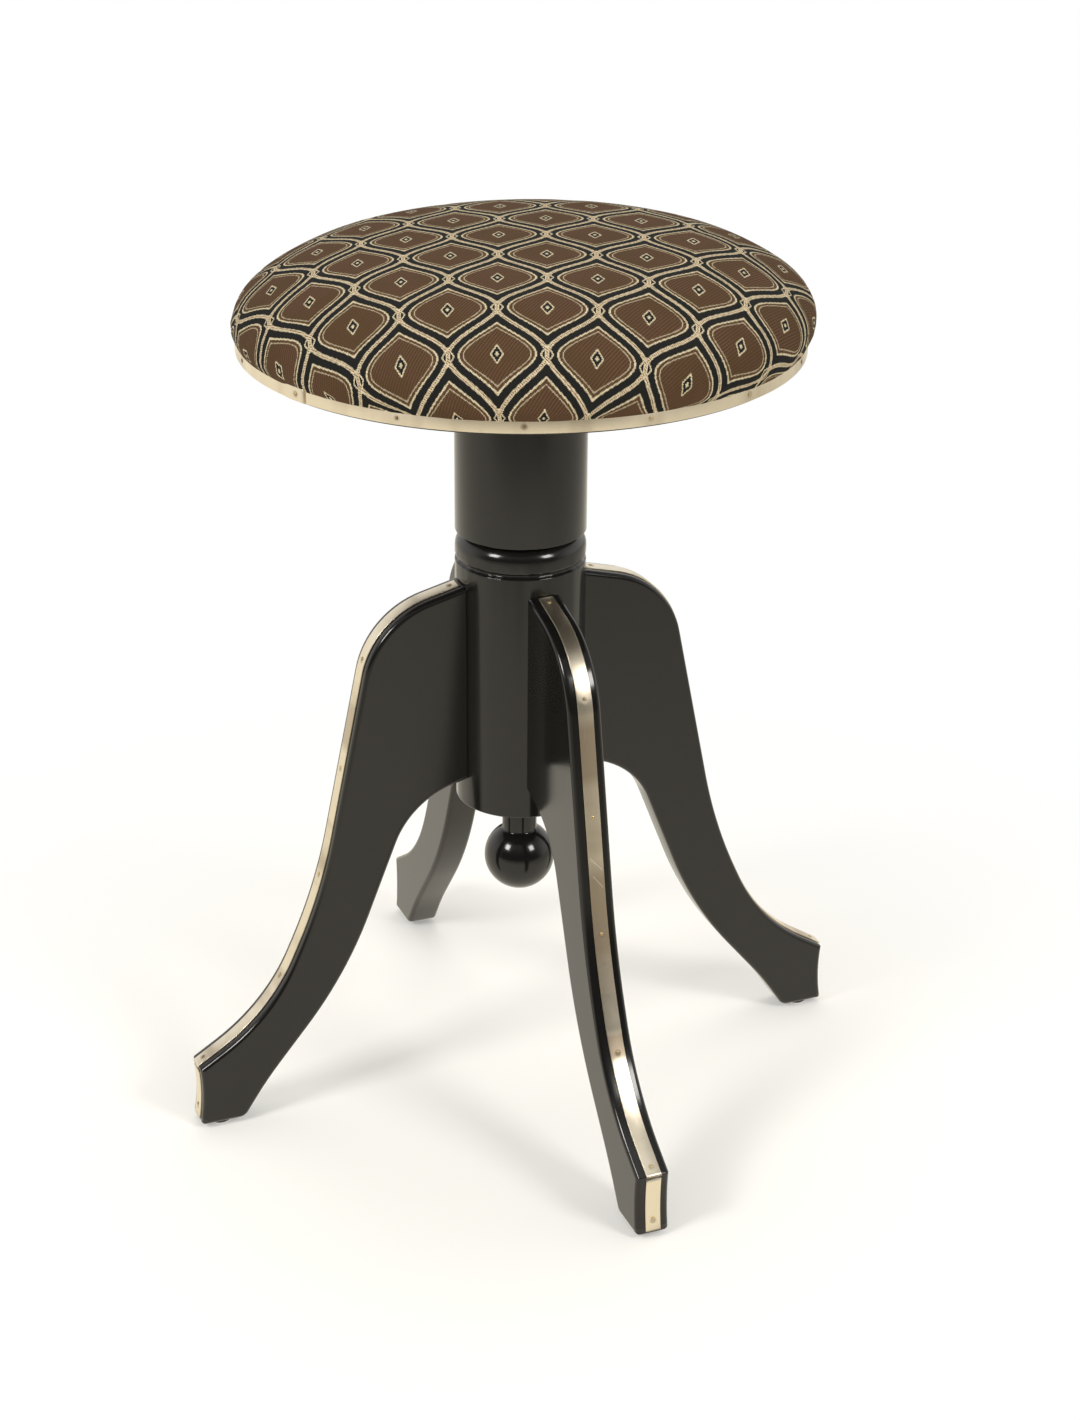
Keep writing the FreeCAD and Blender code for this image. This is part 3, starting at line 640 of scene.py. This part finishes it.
# The spindle: a steel screw, 20 mm across with a square-shouldered right-hand thread of
# 6 mm, whose roots are dark with grease. A cross pin through its foot and a loose washer on
# the pin stop it under the nut.
SPINDLE_RADIUS = 0.010
SPINDLE_FOOT = 0.2243
BOARD_FOOT = 0.4845
THREAD_PITCH = 0.006
THREAD_DEPTH = 0.0013
THREAD_ROWS = 12
THREAD_SIDES = 64
LEAD_IN = 0.003


def threaded(radius, foot, top):
    """A right-hand thread: at a height z and an angle a, the phase z / pitch - a / turn
    runs over a crest, a flank, a root and a flank, and takes up to the depth off the
    radius. It tapers in over the length of the lead-in at its foot."""
    count = int((top - foot) / THREAD_PITCH * THREAD_ROWS)
    height = np.linspace(foot, top, count)[:, None]
    angle = np.linspace(0, 2 * np.pi, THREAD_SIDES, endpoint=False)[None, :]
    phase = (height / THREAD_PITCH - angle / (2 * np.pi)) % 1.0
    root = np.clip(np.abs(phase - 0.5) * 5 - 0.75, 0, 1)
    taper = LEAD_IN / 2 * np.clip(1 - (height - foot) / LEAD_IN, 0, 1)
    reach = radius - THREAD_DEPTH * root - taper
    rows = np.stack([reach * np.cos(angle), reach * np.sin(angle),
                     np.broadcast_to(height, reach.shape)], -1)
    centre = np.zeros((1, THREAD_SIDES, 3))
    return np.vstack([centre + [0, 0, foot], rows, centre + [0, 0, top]])


def greased_thread():
    """Steel thread, bright on its crests, with dark grease towards its roots."""
    finish = Finish("greased_thread")
    place = finish.place()
    x, y, _ = finish.parts(place)
    from_axis = (x * x + y * y) ** 0.5
    smear = finish.noise(place, 260, 4, 0.6)
    crest = (from_axis + (smear - 0.5) * 0.0004).rise(SPINDLE_RADIUS - 0.0009, SPINDLE_RADIUS)
    finish.set(Base_Color=finish.blend(crest, (0.045, 0.038, 0.030), (0.50, 0.47, 0.43)),
               Metallic=0.4 + 0.6 * crest, Roughness=0.42 - 0.14 * crest + 0.1 * smear)
    finish.relief(smear, 0.00012, 0.5)
    return finish.owner


spindle = skin("threaded_spindle", [threaded(SPINDLE_RADIUS, SPINDLE_FOOT, BOARD_FOOT)])
dress(spindle, "seat", greased_thread(), "steel", "spindle")
carry_over(bright_steel, "stop_pin", "stop_washer")

# The flange: a round iron plate welded to the spindle's top, in a recess of the drum. Steel
# screws through it go up into the seat board.
dark_iron = machined_steel("dark_iron", (0.16, 0.15, 0.14), (0.07, 0.065, 0.06), 0.45)
carry_over(dark_iron, "spindle_flange")
carry_over(bright_steel, "flange_screws")

# The drum: a turned tube of the column's wood and lacquer round the spindle, held by long
# steel screws from the seat board. It turns with the seat, and its lower edge is nearly
# sharp.
DRUM_FOOT = 0.3709
DRUM_EDGE = 0.0005
DRUM_BORE = 0.012

drum_edge = rounded_path(
    [(DRUM_BORE, BOARD_FOOT), (DRUM_BORE, DRUM_FOOT), (COLUMN_RADIUS, DRUM_FOOT),
     (COLUMN_RADIUS, BOARD_FOOT), (DRUM_BORE + 0.001, BOARD_FOOT)],
    [0.0006, DRUM_EDGE, 0.0003], steps=5)
drum = skin("turned_drum", [lathe(np.vstack([drum_edge, drum_edge[:1]]))])
dress(drum, "seat", lacquer, "black_lacquer", "drum")
carry_over(bright_steel, "drum_screws")

# The seat board: a disc of 12 mm ply under the padding, its edge and underside stained
# black. The grain shows faintly below, and the cover is drawn down round its edge.
BOARD_TOP = 0.4965
BOARD_RADIUS = 0.164


def stained_board():
    """Black-stained ply: brown grain in long streaks, and thinner stain here and there."""
    finish = Finish("stained_board")
    grain = finish.noise(finish.place(stretch=(1, 0.07, 1)), 420, 5, 0.6)
    thin = finish.noise(finish.place(), 14, 3)
    colour = finish.blend(grain, (0.010, 0.009, 0.008), (0.022, 0.017, 0.013))
    colour = finish.blend(thin.rise(0.52, 0.75) * grain, colour, (0.055, 0.036, 0.022))
    finish.set(Base_Color=colour, Roughness=0.45 + 0.2 * grain)
    finish.relief(grain, 0.00015, 0.6)
    return finish.owner


board_edge = rounded_path([(0.0, BOARD_FOOT), (BOARD_RADIUS, BOARD_FOOT),
                           (BOARD_RADIUS, BOARD_TOP), (0.0, BOARD_TOP)], [0.001, 0.0004])
board = skin("seat_ply", [lathe(board_edge, 192)])
dress(board, "seat", stained_board(), "seat_board", "seat_board")

# The upholstery: a crowned pad under one round of woven cloth, pulled tight over the
# board's edge. It swells out over the band, and the cloth is drawn in where it is held.
BAND_FOOT = 0.486
BAND_TOP = 0.494
SKIRT_RADIUS = 0.165
BULGE_RADIUS = 0.170
BULGE_Z = 0.5003
CROWN_HEIGHT = 0.0486
RIM_ROUND = 0.0255
RIM_TURN = 56.0
SHOULDER_ARC = 0.135
PAD_VOXEL = 0.005
PAD_INSET = 0.0006
PAD_CAP = 0.0012
PAD_SHIFT = 0.0017
PAD_TILT = 0.0148
PAD_SETTLED_TO = math.radians(-21.56)
PAD_SETTLE_HEIGHT = 0.012
PATTERN_WIDTH = 0.054
PATTERN_LENGTH = 0.078
PATTERN_TURN = math.radians(21.56)
THREAD_SPACING = (0.0006, 0.0007, 1.0)
MEDALLION_INSET = 0.0060
INNER_LINE_INSET = 0.0086
LOZENGE_HALF_WIDTH = 0.0034
LOZENGE_HALF_LENGTH = 0.0066


def crown_profile(inset):
    """The cushion's half section from the band out round the bulge and over to the axis:
    four arcs, each tangent to the next, drawn in by an inset. The top arc's radius follows
    from the crown's height."""
    drawn_in, bulge_height = BULGE_RADIUS - SKIRT_RADIUS, BULGE_Z - BAND_TOP
    side_round = (drawn_in ** 2 + bulge_height ** 2) / (2 * drawn_in)
    side_turn = math.asin(bulge_height / side_round)
    rim_turn, over = math.radians(RIM_TURN), SHOULDER_ARC - RIM_ROUND
    shoulder_r = BULGE_RADIUS - RIM_ROUND - over * math.cos(rim_turn)
    shoulder_z = BULGE_Z - over * math.sin(rim_turn)
    below_top = BULGE_Z + CROWN_HEIGHT - shoulder_z
    top_round = ((below_top ** 2 + shoulder_r ** 2 - SHOULDER_ARC ** 2)
                 / (2 * (below_top - SHOULDER_ARC)))
    top_z = BULGE_Z + CROWN_HEIGHT - top_round
    top_turn = math.atan2(shoulder_z - top_z, shoulder_r)
    arcs = [(BULGE_RADIUS - side_round, BULGE_Z, side_round, -side_turn, 0, 8),
            (BULGE_RADIUS - RIM_ROUND, BULGE_Z, RIM_ROUND, 0, rim_turn, 14),
            (shoulder_r, shoulder_z, SHOULDER_ARC, rim_turn, top_turn, 20),
            (0.0, top_z, top_round, top_turn, math.pi / 2, 40)]
    rows = [np.stack([r + (arc - inset) * np.cos(t), z + (arc - inset) * np.sin(t)], 1)
            for r, z, arc, start, end, runs in arcs
            for t in [np.linspace(start, end, runs + 1)]]
    return np.vstack([rows[0]] + [row[1:] for row in rows[1:]])


def baked(piece):
    """Replaces a piece's mesh by what its modifiers make of it."""
    shape = bpy.data.meshes.new_from_object(
        piece.evaluated_get(bpy.context.evaluated_depsgraph_get()))
    piece.modifiers.clear()
    piece.data = shape


def vertex_places(mesh):
    places = np.zeros(len(mesh.vertices) * 3)
    mesh.vertices.foreach_get("co", places)
    return places.reshape(-1, 3)


def swollen(piece):
    """Blows the pad up as cloth under pressure while its skirt is held. The padding stops
    a point that would move inwards, and the cap limits how far it moves out."""
    before = vertex_places(piece.data)
    held = piece.vertex_groups.new(name="held")
    held.add(np.flatnonzero(before[:, 2] < BAND_TOP + 0.0006).tolist(), 1.0, "ADD")
    cloth = piece.modifiers.new("cloth", "CLOTH")
    cloth.settings.quality = 6
    cloth.settings.mass = 0.3
    cloth.settings.tension_stiffness = 25
    cloth.settings.compression_stiffness = 25
    cloth.settings.shear_stiffness = 12
    cloth.settings.bending_stiffness = 2
    cloth.settings.use_pressure = True
    cloth.settings.uniform_pressure_force = 4
    cloth.settings.vertex_group_mass = "held"
    cloth.settings.effector_weights.gravity = 0
    cloth.collision_settings.use_collision = False
    for number in range(1, 21):
        bpy.context.scene.frame_set(number)
    baked(piece)
    bpy.context.scene.frame_set(1)
    after = vertex_places(piece.data)
    move = after - before
    outward = before - [0, 0, BAND_FOOT]
    outward /= np.maximum(np.linalg.norm(outward, axis=1, keepdims=True), 1e-9)
    move -= outward * np.minimum(0, (move * outward).sum(1, keepdims=True))
    far = np.linalg.norm(move, axis=1, keepdims=True)
    after = before + move * np.minimum(1, PAD_CAP / np.maximum(far, 1e-9))
    piece.data.vertices.foreach_set("co", after.ravel())


def settled(piece):
    """Years of sitting have pushed the padding a little to one side: above the band, a point
    moves that way by the shift, and up by the tilt times its distance that way."""
    places = vertex_places(piece.data)
    way = np.array([math.cos(PAD_SETTLED_TO), math.sin(PAD_SETTLED_TO), 0])
    share = np.clip((places[:, 2:] - BAND_TOP) / PAD_SETTLE_HEIGHT, 0, 1)
    share = share * share * (3 - 2 * share)
    places += share * (way * PAD_SHIFT + [0, 0, PAD_TILT] * (places @ way)[:, None])
    piece.data.vertices.foreach_set("co", places.ravel())


def cloth_chart(mesh):
    """Charts the cloth in metres: a point at an angle a round the axis lies at
    (s cos a, s sin a), where s is the distance from the crown down the cushion's section."""
    section = crown_profile(0.0)[::-1]
    section = np.vstack([section, [(SKIRT_RADIUS, BAND_FOOT)]])
    down = np.append(0, np.cumsum(np.linalg.norm(np.diff(section, axis=0), axis=1)))
    lean = np.arctan2(section[:, 0], section[:, 1] - BULGE_Z)
    x, y, z = vertex_places(mesh).T
    s = np.interp(np.arctan2(np.hypot(x, y), z - BULGE_Z), lean, down)
    a = np.arctan2(y, x)
    chart = np.stack([s * np.cos(a), s * np.sin(a)], 1)
    loop_vertex = np.zeros(len(mesh.loops), int)
    mesh.loops.foreach_get("vertex_index", loop_vertex)
    layer = mesh.uv_layers.new(name="chart")
    layer.data.foreach_set("uv", chart[loop_vertex].ravel())


def trellis_cloth():
    """Woven cloth with a plain trellis of ogees. With x and y counted in repeats, its roped
    lines are x = cos(2 pi y) / 4 and x = 1 / 2 - cos(2 pi y) / 4. A brown medallion fills
    each mesh up to a set distance from the lines, with a cream outline, a finer line inside
    it and a lozenge in its middle. All edges step from thread to thread, and ribs of weft
    give the relief."""
    finish = Finish("trellis_cloth")
    chart = finish.place("UV", turn=(0, 0, PATTERN_TURN))
    threads = finish.node("ShaderNodeVectorMath", {"operation": "SNAP"},
                          {0: chart, 1: THREAD_SPACING})
    u, v, _ = finish.parts(threads)
    fine_u, fine_v, _ = finish.parts(chart)
    x, y = u / PATTERN_WIDTH, v / PATTERN_LENGTH
    wave = (y * (2 * math.pi)).cosine()
    lean = (y * (2 * math.pi)).sine() * (PATTERN_WIDTH / PATTERN_LENGTH * math.pi / 2)
    slant = (1 + lean * lean) ** 0.5
    one_line = (x - 0.25 * wave).from_whole() * PATTERN_WIDTH / slant
    other_line = (x - 0.5 + 0.25 * wave).from_whole() * PATTERN_WIDTH / slant
    off_line = one_line.least(other_line)
    rope = 1 - off_line.rise(0.00105, 0.00125)
    rope_edge = rope * off_line.rise(0.00050, 0.00065)
    outline = 1 - abs(off_line - MEDALLION_INSET).rise(0.00048, 0.00062)
    medallion = off_line.rise(MEDALLION_INSET - 0.0001, MEDALLION_INSET)
    across = (x - 0.25).from_whole().least((x + 0.25).from_whole()) * PATTERN_WIDTH
    row = (y * 2).from_whole() * PATTERN_LENGTH / 2
    inner_line = 1 - abs(off_line - INNER_LINE_INSET).rise(0.00022, 0.00042)
    middle = across / LOZENGE_HALF_WIDTH + row / LOZENGE_HALF_LENGTH
    lozenge = 1 - middle.rise(0.95, 1.0)
    lozenge_edge = 1 - abs(middle - 1.0).rise(0.11, 0.15)
    seed = 1 - middle.rise(0.28, 0.34)
    yarn = finish.noise(threads, 1500, 2, 0.7)
    shade = finish.noise(chart, 26, 2)
    twist = ((fine_u + fine_v) / 0.0019).wave()
    twill = ((fine_u - fine_v * 0.6) / 0.0021).wave()
    brown = finish.blend(0.55 * yarn + 0.45 * twill, (0.034, 0.018, 0.008), (0.128, 0.069, 0.038))
    brown = finish.blend(shade.rise(0.40, 0.62) * 0.5, brown, (0.068, 0.040, 0.017))
    ground = finish.blend(yarn, (0.004, 0.004, 0.004), (0.020, 0.020, 0.018))
    cream = finish.blend(yarn.rise(0.30, 0.62), (0.34, 0.275, 0.165), (0.60, 0.52, 0.35))
    fleck = finish.blend(yarn.rise(0.45, 0.55), (0.10, 0.05, 0.03), (0.36, 0.20, 0.13))
    colour = finish.blend(medallion, ground, brown)
    colour = finish.blend(lozenge, colour, ground)
    drawn = rope.most(outline).most(lozenge_edge).most(seed).most(inner_line * 0.7)
    colour = finish.blend(drawn, colour, cream)
    colour = finish.blend((rope - rope_edge) * twist.rise(0.45, 0.60), colour, fleck)
    ribs = (fine_v / 0.0009).wave()
    ends = (fine_u / 0.0007).wave()
    finish.set(Base_Color=colour, Roughness=0.80 + 0.15 * yarn, Specular_IOR_Level=0.1)
    finish.relief(0.35 * ribs + 0.2 * ends + 0.25 * yarn + 0.3 * drawn, 0.00035, 0.7)
    return finish.owner


pad_profile = np.vstack([[(0.0, BAND_FOOT), (SKIRT_RADIUS - 0.0003, BAND_FOOT),
                          (SKIRT_RADIUS - 0.0003, BAND_TOP)], crown_profile(PAD_INSET)[1:]])
pad = skin("upholstered_pad", [lathe(pad_profile, 192)])
remesh = pad.modifiers.new("even_mesh", "REMESH")
remesh.mode, remesh.voxel_size, remesh.use_smooth_shade = "VOXEL", PAD_VOXEL, True
baked(pad)
swollen(pad)
settled(pad)
pad.modifiers.new("smooth", "SUBSURF").levels = 1
baked(pad)
pad.data.polygons.foreach_set("use_smooth", [True] * len(pad.data.polygons))
cloth_chart(pad.data)
dress(pad, "seat", trellis_cloth(), "seat_fabric", "foam_pad", "seat_cover")

# The rim band: nickel strip bent round the board's edge over the cloth, its lower edge
# rolled a little, with one end lapped over the other and pins every 24 degrees.
BAND_RADIUS = 0.16505
BAND_THICKNESS = 0.00095
LAP_START = math.radians(199.0)
LAP_LENGTH = 0.013
LAP_RISE = 0.00069
LAP_RAMP = 0.045
BAND_PIN_START = 9.0
BAND_PIN_COUNT = 15


def hoop(count=420):
    """A strip bent round the Z axis for a turn and the lap: the point (across, out) of its
    section goes to the radius R + out + rise, at the height of the band's middle + across.
    The rise is smooth, from 0 to the strip's thickness, just before the lap."""
    turn = 2 * math.pi + LAP_LENGTH / BAND_RADIUS
    swing = np.linspace(0, turn, count)
    rise = np.clip((swing - 2 * math.pi + LAP_RAMP) / LAP_RAMP, 0, 1)
    rise = LAP_RISE * rise * rise * (3 - 2 * rise)
    section = strip_section(BAND_TOP - BAND_FOOT, BAND_THICKNESS, 0.0003)
    across, out = section[:, 0], section[:, 1]
    roll = 0.00025 * np.exp(-((across + 0.0030) / 0.0007) ** 2) * (out > BAND_THICKNESS / 2)
    radius = BAND_RADIUS + (out + roll)[None, :] + rise[:, None]
    radius = np.minimum(radius, BAND_RADIUS + BAND_THICKNESS + LAP_RISE)
    angle = (LAP_START + swing)[:, None]
    height = (BAND_FOOT + BAND_TOP) / 2 + np.repeat(across[None, :], count, 0)
    grid = np.stack([radius * np.cos(angle), radius * np.sin(angle), height], -1)
    chart = np.stack(np.broadcast_arrays(np.append(across, across[0])[None, :],
                                         (swing * BAND_RADIUS)[:, None]), -1)
    return grid, chart


pin_angles = np.radians(BAND_PIN_START + 360 / BAND_PIN_COUNT * np.arange(BAND_PIN_COUNT))
pin_spacing = 2 * math.pi / BAND_PIN_COUNT * BAND_RADIUS
first_pin = ((pin_angles[0] - LAP_START) % (2 * math.pi)) * BAND_RADIUS % pin_spacing
band_grid, band_chart = hoop()
band = skin("nickel_band", [band_grid], True, [band_chart])
band_nickel = brushed_nickel("brushed_nickel_band", first_pin, pin_spacing, wear=0.4)
band_nickel.set(Anisotropic=0.75, Anisotropic_Rotation=0.25)
dress(band, "seat", band_nickel.owner, "nickel", "rim_band")
outwards = np.stack([np.cos(pin_angles), np.sin(pin_angles), 0 * pin_angles], 1)
at_lap = ((pin_angles - LAP_START) % (2 * math.pi)) < LAP_LENGTH / BAND_RADIUS
pin_radius = BAND_RADIUS + BAND_THICKNESS + np.where(at_lap, LAP_RISE, 0)
places = outwards * pin_radius[:, None] + [0, 0, (BAND_FOOT + BAND_TOP) / 2]
band_pins = skin("pins_band", pin_heads(places, outwards))
dress(band_pins, "seat", brass, "pin_brass", "rim_band_pins")

# The stage: a pale paper floor without an edge, a soft lamp on either side and one behind,
# dimmer light from all round, and the camera at the photograph's height, distance and lens.
# In reflections the floor shows painted shade: warm, and darker in front and to the right.
FLOOR_REACH = 14.0
LAMP_AIM = np.array([0, 0, 0.3])
LAMP_COLOUR = (1.0, 0.99, 0.975)
LAMPS = (("left_softbox", -51, 35, 2.3, 0.6, 24), ("right_softbox", 51, 33, 2.3, 0.6, 20),
         ("top_softbox", 170, 72, 2.4, 1.3, 16))
VIEW_AZIMUTH = math.radians(-21.56)
CAMERA_DISTANCE = 1.5303
CAMERA_HEIGHT = 0.9527
CAMERA_PITCH = math.radians(24.67)
CAMERA_YAW = 0.0081
CAMERA_ROLL = 0.0074
LENS = 69.04

ahead = np.array([math.sin(-VIEW_AZIMUTH), math.cos(VIEW_AZIMUTH), 0.0])
rightward = np.array([ahead[1], -ahead[0], 0.0])

floor = skin("floor", [lathe([(0.0, 0.0), (0.5, 0.0), (FLOOR_REACH, 0.0)], 64)])
paper = Finish("pale_floor")
place = paper.place()
in_front, to_right, from_middle = [
    paper.node("ShaderNodeVectorMath", {"operation": operation}, sockets, out="Value")
    for operation, sockets in (("DOT_PRODUCT", {0: place, 1: tuple(-ahead)}),
                               ("DOT_PRODUCT", {0: place, 1: tuple(rightward)}),
                               ("LENGTH", {0: place}))]
seen_ray, passed_ray, mirrored = paper.node(
    "ShaderNodeLightPath", {}, {}, out=("Is Camera Ray", "Is Transmission Ray", "Is Glossy Ray"))
looked_at = seen_ray.most(passed_ray)
paper.set(Base_Color=(0.97, 0.945, 0.88), Roughness=0.9, Specular_IOR_Level=0.1)
# Painted shade, seen only in reflections: the floor is half as bright in front of the stool and 30
# per cent darker to its right, in a warm tint, while camera rays see it white.
bright = (1 - 0.50 * in_front.rise(0.60, 1.40)) * (1 - 0.30 * to_right.rise(0.2, 0.9))
glow_colour_with_painted_shade = paper.blend(bright, (0.0, 0.0, 0.0), (1.0, 0.94, 0.80))
glow_colour_with_painted_shade = paper.blend(mirrored, (1.0, 1.0, 1.0), glow_colour_with_painted_shade)
floor_glow_with_painted_shade = paper.node("ShaderNodeEmission", {}, {"Color": glow_colour_with_painted_shade, "Strength": 1.0})
mixed = paper.node("ShaderNodeMixShader", {}, {
    0: (looked_at * (0.25 + 0.75 * from_middle.rise(0.16, 0.62))).most(mirrored * 0.95),
    1: Value(paper, paper.surface.outputs[0]), 2: floor_glow_with_painted_shade})
paper.feed(paper.tree.nodes["Material Output"].inputs["Surface"], mixed)
floor.data.materials.append(paper.owner)


def around_camera(azimuth, elevation, distance):
    """A point at a distance from what the lamps aim at: it lies round to the right of the
    camera by the azimuth, and up by the elevation, both in degrees."""
    turn, lift = math.radians(azimuth), math.radians(elevation)
    flat = rightward * math.sin(turn) - ahead * math.cos(turn)
    return LAMP_AIM + distance * (flat * math.cos(lift) + np.array([0, 0, math.sin(lift)]))


def aimed(item, place, forward, top):
    """Places a lamp or camera with its view along forward and its top towards top."""
    forward = np.array(forward) / np.linalg.norm(forward)
    side = np.cross(forward, top)
    side /= np.linalg.norm(side)
    matrix = np.eye(4)
    matrix[:3, :4] = np.stack([side, np.cross(side, forward), -forward, place], 1)
    item.matrix_world = matrix.T
    bpy.context.scene.collection.objects.link(item)


for name, azimuth, elevation, distance, size, power in LAMPS:
    lamp = bpy.data.lights.new(name, "AREA")
    lamp.size, lamp.energy, lamp.color = size, power, LAMP_COLOUR
    place = around_camera(azimuth, elevation, distance)
    aimed(bpy.data.objects.new(name, lamp), place, LAMP_AIM - place, (0, 0, 1))

world = bpy.data.worlds.new("studio")
bpy.context.scene.world = world
studio = Finish("studio", world)
toward = studio.node("ShaderNodeTexCoord", {}, {}, "Generated")
forward = studio.node("ShaderNodeVectorMath", {"operation": "DOT_PRODUCT"},
                      {0: toward, 1: tuple(ahead)}, out="Value")
height = studio.parts(toward)[2]
walls = 0.06 + 0.94 * forward.rise(-0.60, 0.15)
overhead = height.rise(0.25, 0.8)
room = walls * (1 - overhead) + 0.34 * overhead + 0.55 * height.rise(0.84, 0.96)
seen_ray, passed_ray, shine = studio.node(
    "ShaderNodeLightPath", {}, {}, out=("Is Camera Ray", "Is Transmission Ray", "Is Glossy Ray"))
seen = seen_ray.most(passed_ray)
strength = 0.62 * (1 - shine) * (1 - seen) + room * shine + seen
backdrop = studio.tree.nodes["Background"]
studio.feed(backdrop.inputs["Color"],
            studio.blend(shine.most(seen), (1.0, 0.982, 0.945), (1.0, 0.995, 0.985)))
studio.feed(backdrop.inputs["Strength"], strength)

lens = bpy.data.cameras.new("camera")
lens.lens, lens.sensor_width, lens.sensor_fit = LENS, 36, "AUTO"
camera = bpy.data.objects.new("camera", lens)
forward = ((rightward * math.sin(CAMERA_YAW) + ahead * math.cos(CAMERA_YAW))
           * math.cos(CAMERA_PITCH) - np.array([0, 0, math.sin(CAMERA_PITCH)]))
level_side = np.cross(forward, [0, 0, 1])
level_side /= np.linalg.norm(level_side)
level_top = np.cross(level_side, forward)
top = level_top * math.cos(CAMERA_ROLL) - level_side * math.sin(CAMERA_ROLL)
aimed(camera, -ahead * CAMERA_DISTANCE + np.array([0, 0, CAMERA_HEIGHT]), forward, top)
bpy.context.scene.camera = camera
bpy.context.scene.view_settings.view_transform = "Standard"
